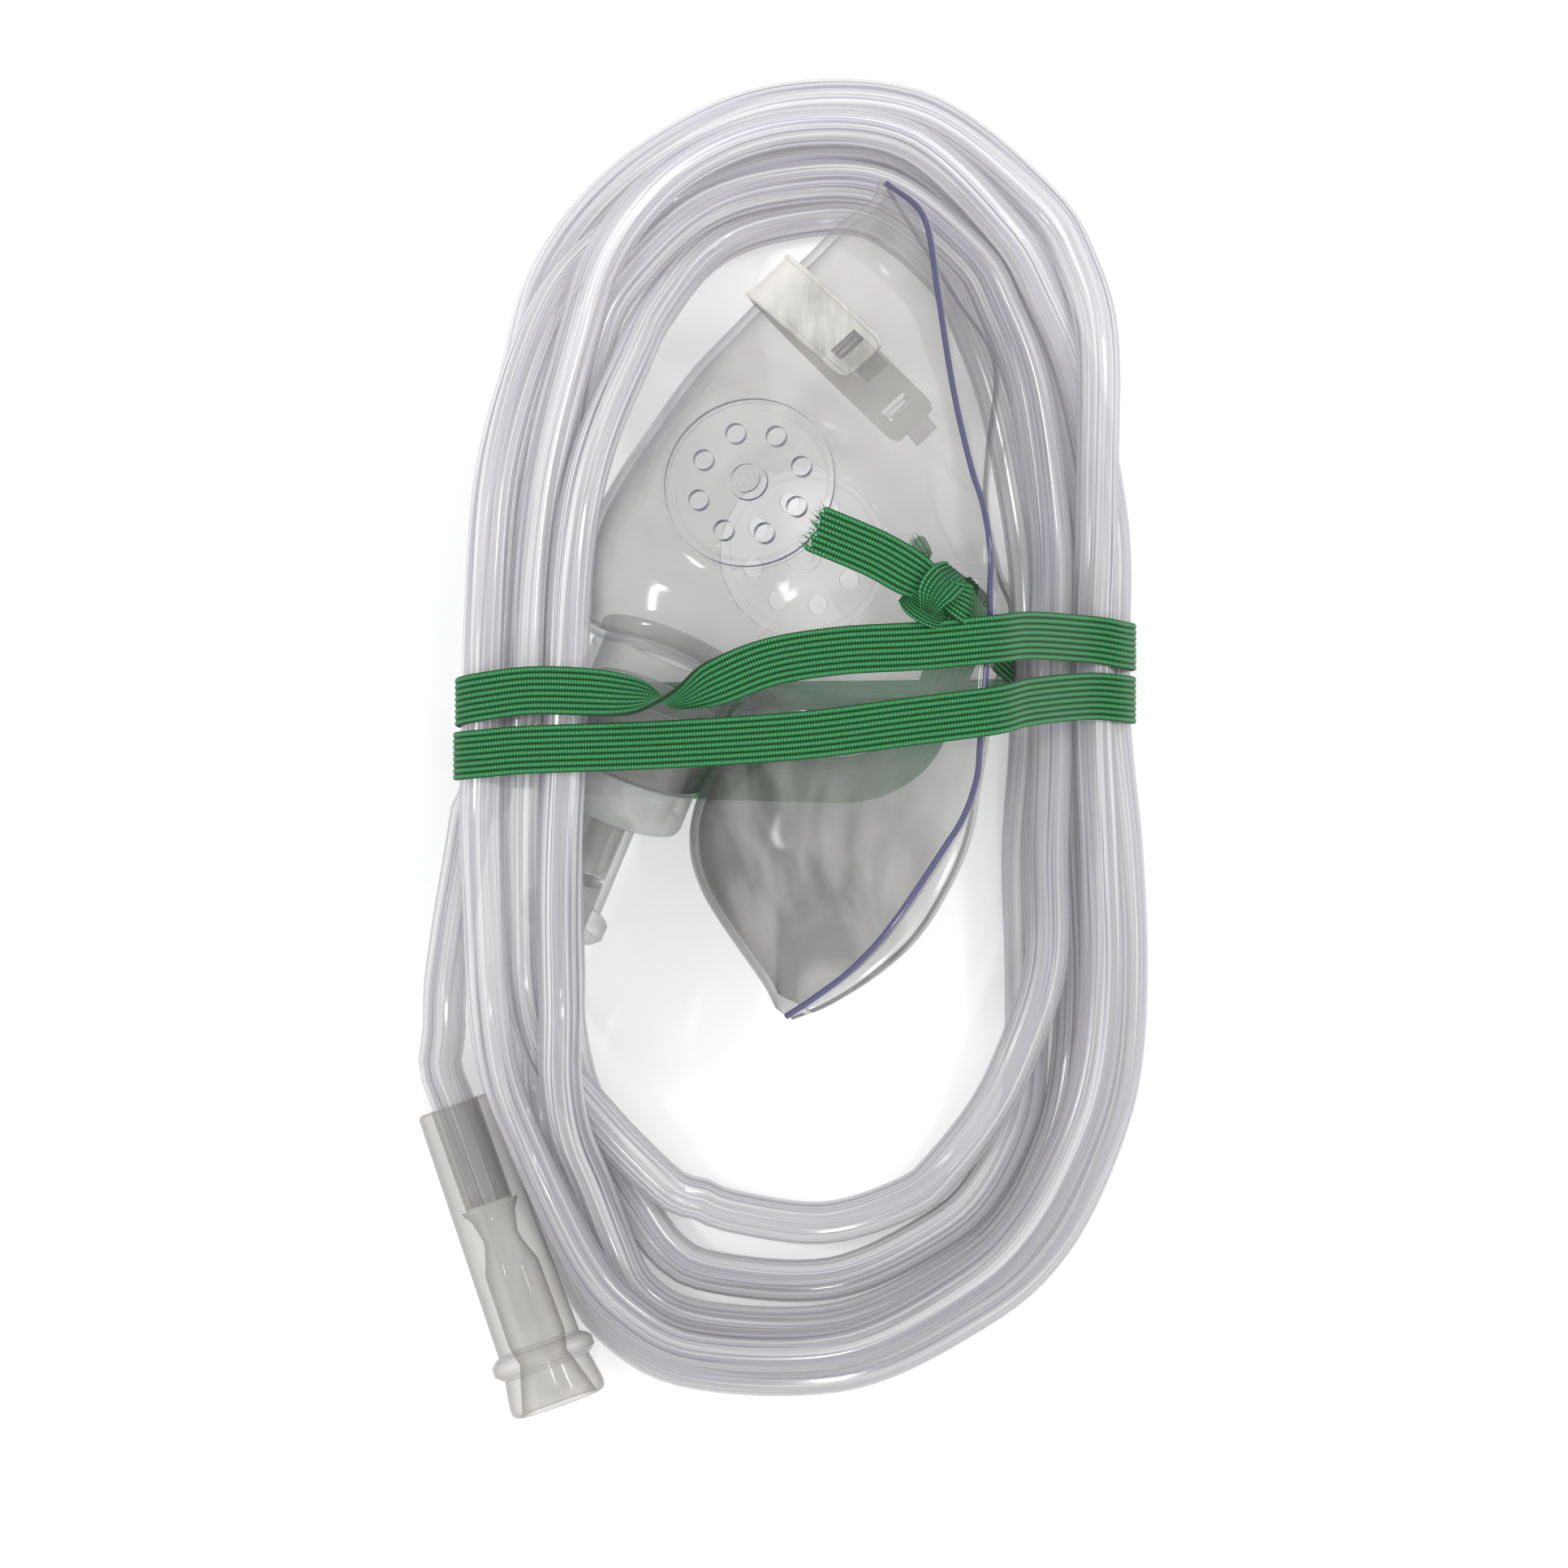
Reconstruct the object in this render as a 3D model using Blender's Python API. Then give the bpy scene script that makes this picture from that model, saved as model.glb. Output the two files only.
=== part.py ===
# Adult oxygen face mask with nose clip, port adapter, star-lumen tubing and elastic head strap.
# It lies on its side as packed, inside the coil of its tubing, with the strap wound twice round both.
# Metres, +Z up. The origin is on the floor under the middle of the mask and strap.
import math

import bmesh
import bpy
import numpy as np
from mathutils import Matrix, Vector

# Clearances, and how far a cutter runs past what it cuts
FIT_GAP = 0.0003
CUT_REACH = 0.0040

# Mask shell, one clear soft moulding
MASK_HEIGHT = 0.1249
MASK_DEPTH = 0.0565
MASK_HALF_WIDTH = 0.0195
MASK_MID_HEIGHT = 0.0240
SHELL_WALL = 0.0013
RIM_LIP = 0.0026
RIM_FLARE = 0.0009

# Vent plates, one in each cheek
VENT_RADIUS = 0.0126
VENT_RING_WIDTH = 0.0009
VENT_RING_HEIGHT = 0.0012
VENT_PLATE_RISE = 0.0006
VENT_PLATE_WALL = 0.0013
VENT_HOLE_DIAMETER = 0.0030
VENT_HOLE_PITCH_RADIUS = 0.0079
VENT_HOLES = 8
VENT_BOSS_RADIUS = 0.0028
VENT_BOSS_HEIGHT = 0.0007
VENT_LAND_RADIUS = 0.0132
VENT_LAND_FADE = 0.0060

# Port below the cheeks
PORT_DIAMETER = 0.0236
PORT_WALL = 0.0015
PORT_LENGTH = 0.0156
PORT_TILT = math.radians(14.0)

# Ear tabs on the rim
EAR_TAB_LENGTH = 0.0120
EAR_TAB_REACH = 0.0064
EAR_TAB_OUT = 0.0006
EAR_SLOT_INSET = 0.0008
EAR_SLOT_LENGTH = 0.0084
EAR_SLOT_WIDTH = 0.0022

# Nose clip, a bent aluminium strip
CLIP_WIDTH = 0.0086
CLIP_THICKNESS = 0.0007
CLIP_LIFT = 0.0009
CLIP_NEAR_ANGLE = math.radians(60.0)
CLIP_FAR_ANGLE = math.radians(72.0)
CLIP_SLOT_LENGTH = 0.0048
CLIP_SLOT_WIDTH = 0.0022
CLIP_SLOT_INSET = math.radians(6.0)
TONGUE_WIDTH = 0.0040
TONGUE_THICKNESS = 0.0008
TONGUE_LENGTH = 0.0064

# Port adapter, a frosted cup with a nipple
ADAPTER_WALL = 0.0014
ADAPTER_SHOULDER_DIAMETER = 0.0220
ADAPTER_SHOULDER_LENGTH = 0.0072
ADAPTER_PLUG_LENGTH = 0.0110
ADAPTER_WINDOW_WIDTH = 0.0026
ADAPTER_WINDOW_HEIGHT = 0.0030
NIPPLE_DIAMETER = 0.0066
NIPPLE_BORE = 0.0036
NIPPLE_LENGTH = 0.0085

# Tubing
TUBE_DIAMETER = 0.0067
STRAIGHT_EXIT = 0.0060

# Sleeve connector on the nipple
SLEEVE_DIAMETER = 0.0099
SLEEVE_LENGTH = 0.0186
SLEEVE_STANDOFF = 0.0014
SLEEVE_STOP = 0.0012
SLEEVE_COLLAR_DIAMETER = 0.0132
SLEEVE_COLLAR_THICKNESS = 0.0034
TUBE_DEPTH_IN_SLEEVE = 0.0080

# Funnel connector at the supply end
SUPPLY_LENGTH = 0.0475
SUPPLY_TOP_DIAMETER = 0.0114
SUPPLY_BARREL_DIAMETER = 0.0128
SUPPLY_COLLAR_DIAMETER = 0.0158
SUPPLY_COLLAR_THICKNESS = 0.0034
SUPPLY_COLLAR_PLACE = 0.0382
SUPPLY_WAIST_DIAMETER = 0.0130
SUPPLY_MOUTH_DIAMETER = 0.0148
SUPPLY_MOUTH_BORE = 0.0120
SUPPLY_CHAMBER_DIAMETER = 0.0088
SUPPLY_BORE = 0.0072
SUPPLY_TOP = Vector((-0.0514, -0.0750, 0.0079))
SUPPLY_HEADING = Vector((0.334, -0.942, 0.003))
TUBE_DEPTH_IN_SUPPLY = 0.0156

# Head strap, flat ribbed elastic
STRAP_WIDTH = 0.0070
STRAP_THICKNESS = 0.0009
STRAP_RIBS = 6
STRAP_RIB_DEPTH = 0.00022
KNOT_WIDTH = 0.0082
KNOT_THICKNESS = 0.0046
KNOT_REACH = 0.0031

# Fineness of the facets and of the measured normals
SHELL_STEPS = 2
SHELL_COLUMNS = 14
ROUND_FACETS = 20
VENT_FACETS = 20
HOLE_FACETS = 8
STRAP_BEND = math.radians(14.0)
NORMAL_STEP = 0.15
NORMAL_TURN = math.radians(3.0)
MERGE_DISTANCE = 0.000004

# Mask outline. Each row is a section: ridge, near rim and far rim as shares of the height
# below the nose tip and of the depth in front of the nose-to-chin line, then the half width
# as a share of its greatest, then how square the section is.
MASK_SECTIONS = (
    (0.005, 0.003, 0.006, -0.010, 0.010, -0.015, 0.082, 2.0),
    (0.042, 0.012, 0.040, -0.101, 0.114, -0.193, 0.231, 2.0),
    (0.065, 0.081, 0.126, -0.156, 0.185, -0.315, 0.410, 2.0),
    (0.108, 0.168, 0.238, -0.226, 0.290, -0.331, 0.590, 2.0),
    (0.140, 0.239, 0.322, -0.291, 0.345, -0.342, 0.718, 2.0),
    (0.194, 0.331, 0.354, -0.317, 0.385, -0.362, 0.846, 2.0),
    (0.256, 0.432, 0.380, -0.333, 0.415, -0.381, 0.933, 2.1),
    (0.328, 0.520, 0.408, -0.347, 0.440, -0.395, 0.985, 2.2),
    (0.389, 0.589, 0.439, -0.359, 0.462, -0.419, 1.000, 2.4),
    (0.445, 0.634, 0.468, -0.365, 0.480, -0.437, 0.974, 2.6),
    (0.499, 0.645, 0.494, -0.372, 0.500, -0.436, 0.933, 2.8),
    (0.545, 0.633, 0.522, -0.377, 0.522, -0.434, 0.913, 3.0),
    (0.577, 0.599, 0.546, -0.379, 0.546, -0.431, 0.903, 3.2),
    (0.626, 0.219, 0.617, -0.385, 0.620, -0.412, 0.892, 3.0),
    (0.655, 0.225, 0.650, -0.387, 0.655, -0.406, 0.872, 2.8),
    (0.715, 0.258, 0.692, -0.390, 0.701, -0.401, 0.846, 2.5),
    (0.770, 0.286, 0.739, -0.369, 0.744, -0.398, 0.795, 2.3),
    (0.816, 0.282, 0.777, -0.332, 0.787, -0.381, 0.733, 2.2),
    (0.859, 0.241, 0.828, -0.277, 0.830, -0.348, 0.646, 2.1),
    (0.896, 0.180, 0.878, -0.218, 0.884, -0.288, 0.533, 2.0),
    (0.934, 0.105, 0.931, -0.142, 0.937, -0.195, 0.379, 2.0),
    (0.964, 0.046, 0.971, -0.063, 0.975, -0.102, 0.215, 2.0),
    (0.987, 0.012, 0.994, -0.013, 0.996, -0.027, 0.092, 2.0),
)
NOSE_TIP = Vector((0.0121, 0.0622, MASK_MID_HEIGHT))
CHORD_LEAN = math.radians(6.9)
CHORD = Vector((-math.sin(CHORD_LEAN), -math.cos(CHORD_LEAN), 0.0))
FORWARD = Vector((-math.cos(CHORD_LEAN), math.sin(CHORD_LEAN), 0.0))

# Places on the shell: a section number, then an angle from the ridge to the rim
PORT_CORNER_SECTION = 12
CLIP_SECTION = 4.0
VENT_PLACES = {1: (7.6, math.radians(54.0)), -1: (8.5, math.radians(-65.0))}
EAR_SECTION = 10.0

# Coil of the tubing. Each row is a station on its middle line, clockwise from the left side:
# x, y, z, half width across the bundle, half height.
COIL_STATIONS = (
    (-0.0399, -0.0073, 0.0322, 0.0078, 0.0060),
    (-0.0381, 0.0167, 0.0280, 0.0078, 0.0060),
    (-0.0334, 0.0371, 0.0200, 0.0078, 0.0060),
    (-0.0285, 0.0486, 0.0145, 0.0078, 0.0060),
    (-0.0172, 0.0602, 0.0088, 0.0093, 0.0060),
    (-0.0019, 0.0662, 0.0064, 0.0112, 0.0060),
    (0.0148, 0.0653, 0.0062, 0.0113, 0.0060),
    (0.0286, 0.0539, 0.0064, 0.0100, 0.0060),
    (0.0334, 0.0450, 0.0068, 0.0091, 0.0060),
    (0.0376, 0.0322, 0.0076, 0.0080, 0.0060),
    (0.0404, 0.0119, 0.0087, 0.0075, 0.0060),
    (0.0409, -0.0025, 0.0090, 0.0074, 0.0060),
    (0.0411, -0.0193, 0.0090, 0.0077, 0.0060),
    (0.0412, -0.0373, 0.0080, 0.0097, 0.0060),
    (0.0416, -0.0541, 0.0067, 0.0102, 0.0060),
    (0.0397, -0.0685, 0.0062, 0.0110, 0.0060),
    (0.0362, -0.0793, 0.0060, 0.0108, 0.0058),
    (0.0296, -0.0901, 0.0058, 0.0113, 0.0056),
    (0.0218, -0.0970, 0.0057, 0.0118, 0.0055),
    (0.0056, -0.1039, 0.0055, 0.0136, 0.0053),
    (-0.0136, -0.1031, 0.0055, 0.0143, 0.0053),
    (-0.0212, -0.0990, 0.0057, 0.0134, 0.0055),
    (-0.0264, -0.0931, 0.0062, 0.0112, 0.0056),
    (-0.0318, -0.0841, 0.0092, 0.0092, 0.0058),
    (-0.0362, -0.0753, 0.0140, 0.0082, 0.0060),
    (-0.0390, -0.0669, 0.0200, 0.0080, 0.0060),
    (-0.0400, -0.0571, 0.0262, 0.0078, 0.0060),
    (-0.0403, -0.0433, 0.0302, 0.0078, 0.0060),
    (-0.0403, -0.0270, 0.0322, 0.0078, 0.0060),
)
COIL_STEPS = 2

# Uncoiled route of the tubing from the sleeve to the underside of the coil, after the straight start
LEAD_ROUTE = (
    (-0.0394, -0.0600, 0.0098),
    (-0.0402, -0.0660, 0.0076),
    (-0.0401, -0.0710, 0.0056),
    (-0.0394, -0.0755, 0.0044),
)
# Route from the outer side of the coil to the supply connector, before the straight end
TAIL_ROUTE = (
    (-0.0476, -0.0282, 0.0243),
    (-0.0492, -0.0370, 0.0212),
    (-0.0510, -0.0470, 0.0166),
    (-0.0525, -0.0570, 0.0115),
    (-0.0528, -0.0640, 0.0089),
)

# Route of the strap from the near tail's cut end: x, y and height, whether the height is counted from
# the middle of the mask (1) or from the floor (0), then the direction of its width
STRAP_ROUTE = (
    (0.0032, 0.0095, 0.0212, 1, 0.4, 0.92, 0.0),
    (0.0110, 0.0062, 0.0212, 1, 0.4, 0.92, 0.0),
    (0.0160, 0.0034, 0.0213, 1, 0.38, 0.93, 0.0),
    (0.0185, 0.0020, 0.0214, 1, 0.3, 0.95, 0.0),
    (0.0210, 0.0007, 0.0216, 1, 0.15, 0.99, 0.0),
    (0.0228, -0.0003, 0.0215, 1, 0.05, 1.0, 0.0),
    (0.0242, -0.0011, 0.0206, 1, 0.0, 1.0, 0.0),
    (0.0248, -0.0016, 0.0185, 1, 0.0, 1.0, 0.0),
    (0.0250, -0.0020, 0.0155, 1, 0.0, 1.0, 0.0),
    (0.0262, -0.0038, 0.0060, 1, 0.0, 1.0, 0.0),
    (0.0290, -0.0068, -0.0040, 1, 0.0, 1.0, 0.0),
    (0.0318, -0.0090, -0.0110, 1, 0.0, 1.0, 0.0),
    (0.0325, -0.0098, -0.0162, 1, 0.0, 1.0, 0.0),
    (0.0330, -0.0100, -0.0204, 1, 0.0, 1.0, 0.0),
    (0.0366, -0.0092, 0.0018, 0, 0.0, 1.0, 0.0),
    (0.0430, -0.0078, 0.0018, 0, 0.0, 1.0, 0.0),
    (0.0478, -0.0070, -0.0204, 1, 0.0, 1.0, 0.0),
    (0.0494, -0.0068, -0.0152, 1, 0.0, 1.0, 0.0),
    (0.0476, -0.0065, -0.0098, 1, 0.0, 1.0, 0.0),
    (0.0428, -0.0058, -0.0056, 1, 0.0, 1.0, 0.0),
    (0.0340, -0.0055, 0.0105, 1, 0.0, 1.0, 0.0),
    (0.0282, -0.0062, 0.0200, 1, 0.0, 1.0, 0.0),
    (0.0180, -0.0072, 0.0208, 1, 0.0, 1.0, 0.0),
    (0.0060, -0.0079, 0.0204, 1, 0.0, 1.0, 0.0),
    (-0.0040, -0.0095, 0.0194, 1, 0.0, 1.0, 0.0),
    (-0.0120, -0.0125, 0.0186, 1, 0.0, 0.93, 0.36),
    (-0.0180, -0.0150, 0.0184, 1, 0.0, 0.3, 0.95),
    (-0.0240, -0.0145, 0.0178, 1, 0.0, -0.75, 0.66),
    (-0.0310, -0.0138, 0.0166, 1, 0.0, -0.98, 0.2),
    (-0.0390, -0.0136, 0.0158, 1, 0.0, -1.0, 0.0),
    (-0.0452, -0.0144, 0.0148, 1, 0.0, -1.0, 0.0),
    (-0.0489, -0.0152, 0.0110, 1, 0.0, -1.0, 0.0),
    (-0.0488, -0.0155, 0.0040, 1, 0.0, -1.0, 0.0),
    (-0.0458, -0.0157, -0.0035, 1, 0.0, -1.0, 0.0),
    (-0.0385, -0.0157, -0.0130, 1, 0.0, -1.0, 0.0),
    (-0.0290, -0.0156, -0.0202, 1, 0.0, -1.0, 0.0),
    (-0.0190, -0.0154, 0.0006, 0, 0.0, -1.0, 0.0),
    (0.0060, -0.0152, 0.0005, 0, 0.0, -1.0, 0.0),
    (0.0280, -0.0150, 0.0005, 0, 0.0, -1.0, 0.0),
    (0.0430, -0.0148, 0.0008, 0, 0.0, -1.0, 0.0),
    (0.0482, -0.0147, -0.0206, 1, 0.0, -1.0, 0.0),
    (0.0494, -0.0147, -0.0152, 1, 0.0, -1.0, 0.0),
    (0.0480, -0.0145, -0.0096, 1, 0.0, -1.0, 0.0),
    (0.0430, -0.0142, -0.0054, 1, 0.0, -1.0, 0.0),
    (0.0340, -0.0152, 0.0105, 1, 0.0, -1.0, 0.0),
    (0.0282, -0.0166, 0.0198, 1, 0.0, -1.0, 0.0),
    (0.0160, -0.0182, 0.0204, 1, 0.0, -1.0, 0.0),
    (0.0000, -0.0202, 0.0194, 1, 0.0, -1.0, 0.0),
    (-0.0200, -0.0215, 0.0176, 1, 0.0, -1.0, 0.0),
    (-0.0390, -0.0222, 0.0160, 1, 0.0, -1.0, 0.0),
    (-0.0452, -0.0227, 0.0150, 1, 0.0, -1.0, 0.0),
    (-0.0491, -0.0231, 0.0108, 1, 0.0, -1.0, 0.0),
    (-0.0490, -0.0234, 0.0040, 1, 0.0, -1.0, 0.0),
    (-0.0460, -0.0239, -0.0035, 1, 0.0, -1.0, 0.0),
    (-0.0390, -0.0245, -0.0130, 1, 0.0, -1.0, 0.0),
    (-0.0300, -0.0252, -0.0202, 1, 0.0, -1.0, 0.0),
    (-0.0190, -0.0258, 0.0006, 0, 0.0, -1.0, 0.0),
    (0.0000, -0.0264, 0.0005, 0, 0.0, -1.0, 0.0),
    (0.0100, -0.0262, 0.0005, 0, 0.12, -0.99, 0.0),
    (0.0170, -0.0222, 0.0008, 0, 0.66, -0.75, 0.0),
    (0.0205, -0.0150, 0.0012, 0, 0.88, -0.48, 0.0),
    (0.0228, -0.0095, 0.0016, 0, 0.85, -0.52, 0.0),
    (0.0250, -0.0052, 0.0020, 0, 0.7, -0.71, 0.0),
    (0.0271, -0.0035, 0.0022, 0, 0.45, -0.89, 0.0),
    (0.0282, -0.0029, -0.0204, 1, 0.12, -0.99, 0.0),
    (0.0283, -0.0027, -0.0178, 1, 0.0, -1.0, 0.0),
    (0.0282, -0.0026, -0.0156, 1, 0.0, -1.0, 0.0),
    (0.0272, -0.0020, -0.0136, 1, 0.0, -1.0, 0.0),
    (0.0248, -0.0006, -0.0126, 1, 0.1, -0.99, 0.0),
    (0.0222, 0.0013, -0.0126, 1, 0.35, -0.94, 0.0),
    (0.0196, 0.0036, -0.0129, 1, 0.6, -0.8, 0.0),
    (0.0166, 0.0072, -0.0131, 1, 0.7, -0.72, 0.0),
)
# Middles of the two knots on the route, with their heights from the middle of the mask
KNOTS = ((0.0207, 0.0009, 0.0216), (0.0248, -0.0006, -0.0126))

CLEAR_VINYL = ((0.80, 0.80, 0.84), 0.12, 0.0)
FROSTED = ((0.82, 0.83, 0.84), 0.45, 0.0)
ALUMINIUM = ((0.62, 0.62, 0.60), 0.35, 1.0)
GREEN_ELASTIC = ((0.03, 0.27, 0.09), 0.85, 0.0)


def material(name, colour, roughness, metallic):
    """A plain finish for one sub-part."""
    made = bpy.data.materials.new(name)
    made.use_nodes = True
    shader = made.node_tree.nodes["Principled BSDF"]
    shader.inputs["Base Color"].default_value = (*colour, 1.0)
    shader.inputs["Roughness"].default_value = roughness
    shader.inputs["Metallic"].default_value = metallic
    return made


def add_object(name, points, faces, finish=None):
    """A closed mesh object with its faces turned outwards."""
    mesh = bpy.data.meshes.new(name)
    mesh.from_pydata([tuple(p) for p in points], [], [tuple(f) for f in faces])
    tidy_mesh(mesh)
    made = bpy.data.objects.new(name, mesh)
    bpy.context.collection.objects.link(made)
    if finish:
        finish_object(made, finish)
    return made


def tidy_mesh(mesh):
    """Merges points that coincide, makes every face a triangle and turns the faces outwards."""
    shape = bmesh.new()
    shape.from_mesh(mesh)
    bmesh.ops.remove_doubles(shape, verts=shape.verts, dist=MERGE_DISTANCE)
    bmesh.ops.dissolve_degenerate(shape, edges=shape.edges, dist=MERGE_DISTANCE)
    bmesh.ops.triangulate(shape, faces=shape.faces)
    bmesh.ops.recalc_face_normals(shape, faces=shape.faces)
    shape.to_mesh(mesh)
    shape.free()


def finish_object(made, finish, sharp=40.0):
    """Smooth shading with crisp edges kept, and the sub-part's material."""
    made.data.materials.clear()
    made.data.materials.append(material(made.name, *finish))
    made.data.shade_smooth()
    made.data.set_sharp_from_angle(angle=math.radians(sharp))


def combine(target, tool, operation):
    """Adds or cuts one solid and leaves the result as the target's own mesh."""
    modifier = target.modifiers.new("combine", "BOOLEAN")
    modifier.operation = operation
    modifier.object = tool
    graph = bpy.context.evaluated_depsgraph_get()
    result = bpy.data.meshes.new_from_object(target.evaluated_get(graph))
    tidy_mesh(result)
    target.modifiers.remove(modifier)
    old = target.data
    target.data = result
    bpy.data.meshes.remove(old)
    bpy.data.objects.remove(tool)


def smooth_rows(rows, steps, closed=False):
    """Rows of a smooth curve through the given rows, a Catmull-Rom curve in any number of columns."""
    rows = np.array(rows, dtype=float)
    count = len(rows)
    spans = count if closed else count - 1
    result = []
    for span in range(spans):
        if closed:
            a, b, c, d = (rows[(span + k) % count] for k in (-1, 0, 1, 2))
        else:
            b, c = rows[span], rows[span + 1]
            a = rows[span - 1] if span else 2 * b - c
            d = rows[span + 2] if span + 2 < count else 2 * c - b
        for k in range(steps):
            t = k / steps
            result.append(
                0.5
                * (
                    2 * b
                    + (c - a) * t
                    + (2 * a - 5 * b + 4 * c - d) * t * t
                    + (3 * b - a - 3 * c + d) * t * t * t
                )
            )
    if not closed:
        result.append(rows[-1])
    return np.array(result)


def revolve(name, profile, frame, finish=None, facets=ROUND_FACETS):
    """A solid turned round the frame's Z from a closed profile of radius and height."""
    points = []
    faces = []
    rows = len(profile)
    for radius, height in profile:
        for k in range(facets):
            turn = 2 * math.pi * k / facets
            place = Vector((radius * math.cos(turn), radius * math.sin(turn), height))
            points.append(frame @ place)
    for row in range(rows):
        after = (row + 1) % rows
        if profile[row][0] == 0 and profile[after][0] == 0:
            continue
        for k in range(facets):
            beside = (k + 1) % facets
            low = row * facets
            high = after * facets
            faces.append((low + k, low + beside, high + beside, high + k))
    return add_object(name, points, faces, finish)


def frame_at(origin, axis, side):
    """A frame with its Z along the axis and its X as near the side as it can be."""
    z = Vector(axis).normalized()
    x = (Vector(side) - z * z.dot(Vector(side))).normalized()
    y = z.cross(x)
    return Matrix(
        (
            (x.x, y.x, z.x, origin[0]),
            (x.y, y.y, z.y, origin[1]),
            (x.z, y.z, z.z, origin[2]),
            (0, 0, 0, 1),
        )
    )


def block(name, frame, size, low=-0.5):
    """A cuboid centred on the frame, with its height from low to low + 1 of its size."""
    points = []
    for z in (low, low + 1.0):
        for x, y in ((-0.5, -0.5), (0.5, -0.5), (0.5, 0.5), (-0.5, 0.5)):
            points.append(frame @ Vector((x * size[0], y * size[1], z * size[2])))
    faces = ((0, 3, 2, 1), (4, 5, 6, 7), (0, 1, 5, 4), (1, 2, 6, 5), (2, 3, 7, 6), (3, 0, 4, 7))
    return add_object(name, points, faces)


def ring_solid(name, rings, closed, finish=None):
    """A solid through rings of points: a loop when closed, capped at both ends when not."""
    count = len(rings)
    size = len(rings[0])
    points = [p for ring in rings for p in ring]
    faces = []
    for i in range(count if closed else count - 1):
        j = (i + 1) % count
        for k in range(size):
            n = (k + 1) % size
            faces.append((i * size + k, i * size + n, j * size + n, j * size + k))
    if not closed:
        faces.append(tuple(range(size))[::-1])
        faces.append(tuple(range((count - 1) * size, count * size)))
    return add_object(name, points, faces, finish)


# Mask geometry
SECTIONS = np.array(MASK_SECTIONS)
CORNER_RIDGE = SECTIONS[PORT_CORNER_SECTION]
SECTION_CURVES = smooth_rows(SECTIONS, 40)


def mask_place(u, v, lateral=0.0):
    """A point from its share of the height, its share of the depth and its height over the middle."""
    return NOSE_TIP + CHORD * (u * MASK_HEIGHT) + FORWARD * (v * MASK_DEPTH) + Vector((0, 0, lateral))


def section_row(station):
    """The outline row at any station, whole or between two."""
    place = min(max(station, 0.0), len(SECTIONS) - 1.0) * 40
    low = int(math.floor(place))
    high = min(low + 1, len(SECTION_CURVES) - 1)
    share = place - low
    return SECTION_CURVES[low] * (1 - share) + SECTION_CURVES[high] * share


def section_frame(station):
    """The middle of the rim, the way to the ridge and the way to the near rim."""
    row = section_row(station)
    half = row[6] * MASK_HALF_WIDTH
    ridge = mask_place(row[0], row[1])
    near = mask_place(row[2], row[3], half)
    far = mask_place(row[4], row[5], -half)
    middle = (near + far) / 2
    return middle, ridge - middle, (near - far) / 2, row[7]


def cheek_point(station, angle):
    """A point of the plain cheek: angle 0 is the ridge, 90 degrees the near rim, past it the lip."""
    middle, reach, half, square = section_frame(station)
    over = max(0.0, abs(angle) - math.pi / 2) / math.radians(10.0)
    turn = max(-math.pi / 2, min(math.pi / 2, angle))
    power = 2.0 / square
    depth = max(0.0, math.cos(turn)) ** power
    across = math.copysign(abs(math.sin(turn)) ** power, turn)
    grow = min(1.0, half.length / (0.5 * MASK_HALF_WIDTH))
    back = reach.normalized() * (-RIM_LIP * over * grow)
    flare = half.normalized() * math.copysign(RIM_FLARE * over * over * grow, turn)
    return middle + reach * depth + half * across + back + flare


def normal_of(surface, station, angle):
    """The outward direction of a surface given as a function of station and angle."""
    low = max(0.0, station - NORMAL_STEP)
    high = min(len(SECTIONS) - 1.0, station + NORMAL_STEP)
    along_ridge = surface(high, angle) - surface(low, angle)
    across = surface(station, angle + NORMAL_TURN) - surface(station, angle - NORMAL_TURN)
    return along_ridge.cross(across).normalized()


def vent_frame(side):
    """The middle of a vent plate on the cheek, with Z outwards."""
    section, angle = VENT_PLACES[side]
    normal = normal_of(cheek_point, section, angle)
    return frame_at(cheek_point(section, angle), normal, FORWARD)


VENT_FRAMES = {side: vent_frame(side) for side in (1, -1)}


def shell_point(station, angle):
    """A point on the outer face, the cheek with a flat land round each vent plate."""
    point = cheek_point(station, angle)
    frame = VENT_FRAMES[1 if angle > 0 else -1]
    local = frame.inverted() @ point
    share = (math.hypot(local.x, local.y) - VENT_LAND_RADIUS) / VENT_LAND_FADE
    if share >= 1.0:
        return point
    share = max(0.0, share)
    local.z *= share * share * (3 - 2 * share)
    return frame @ local


def shell_normal(station, angle):
    """The outward direction at a point of the outer face."""
    return normal_of(shell_point, station, angle)


def shell_offset(station, angle, out):
    """A point held off the outer face."""
    return shell_point(station, angle) + shell_normal(station, angle) * out


def shell_stations():
    """The stations of the grid: evenly between the rows, and closer on the step of the port."""
    count = (len(SECTIONS) - 1) * SHELL_STEPS
    return [k / SHELL_STEPS for k in range(count + 1)]


def shell_angles():
    """The columns of the grid from the far lip over the ridge to the near lip."""
    half = [math.radians(100.0), math.radians(95.0)]
    for k in range(SHELL_COLUMNS // 2):
        half.append(math.pi / 2 * (1 - k / (SHELL_COLUMNS / 2)))
    return [-a for a in half] + [0.0] + half[::-1]


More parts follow.
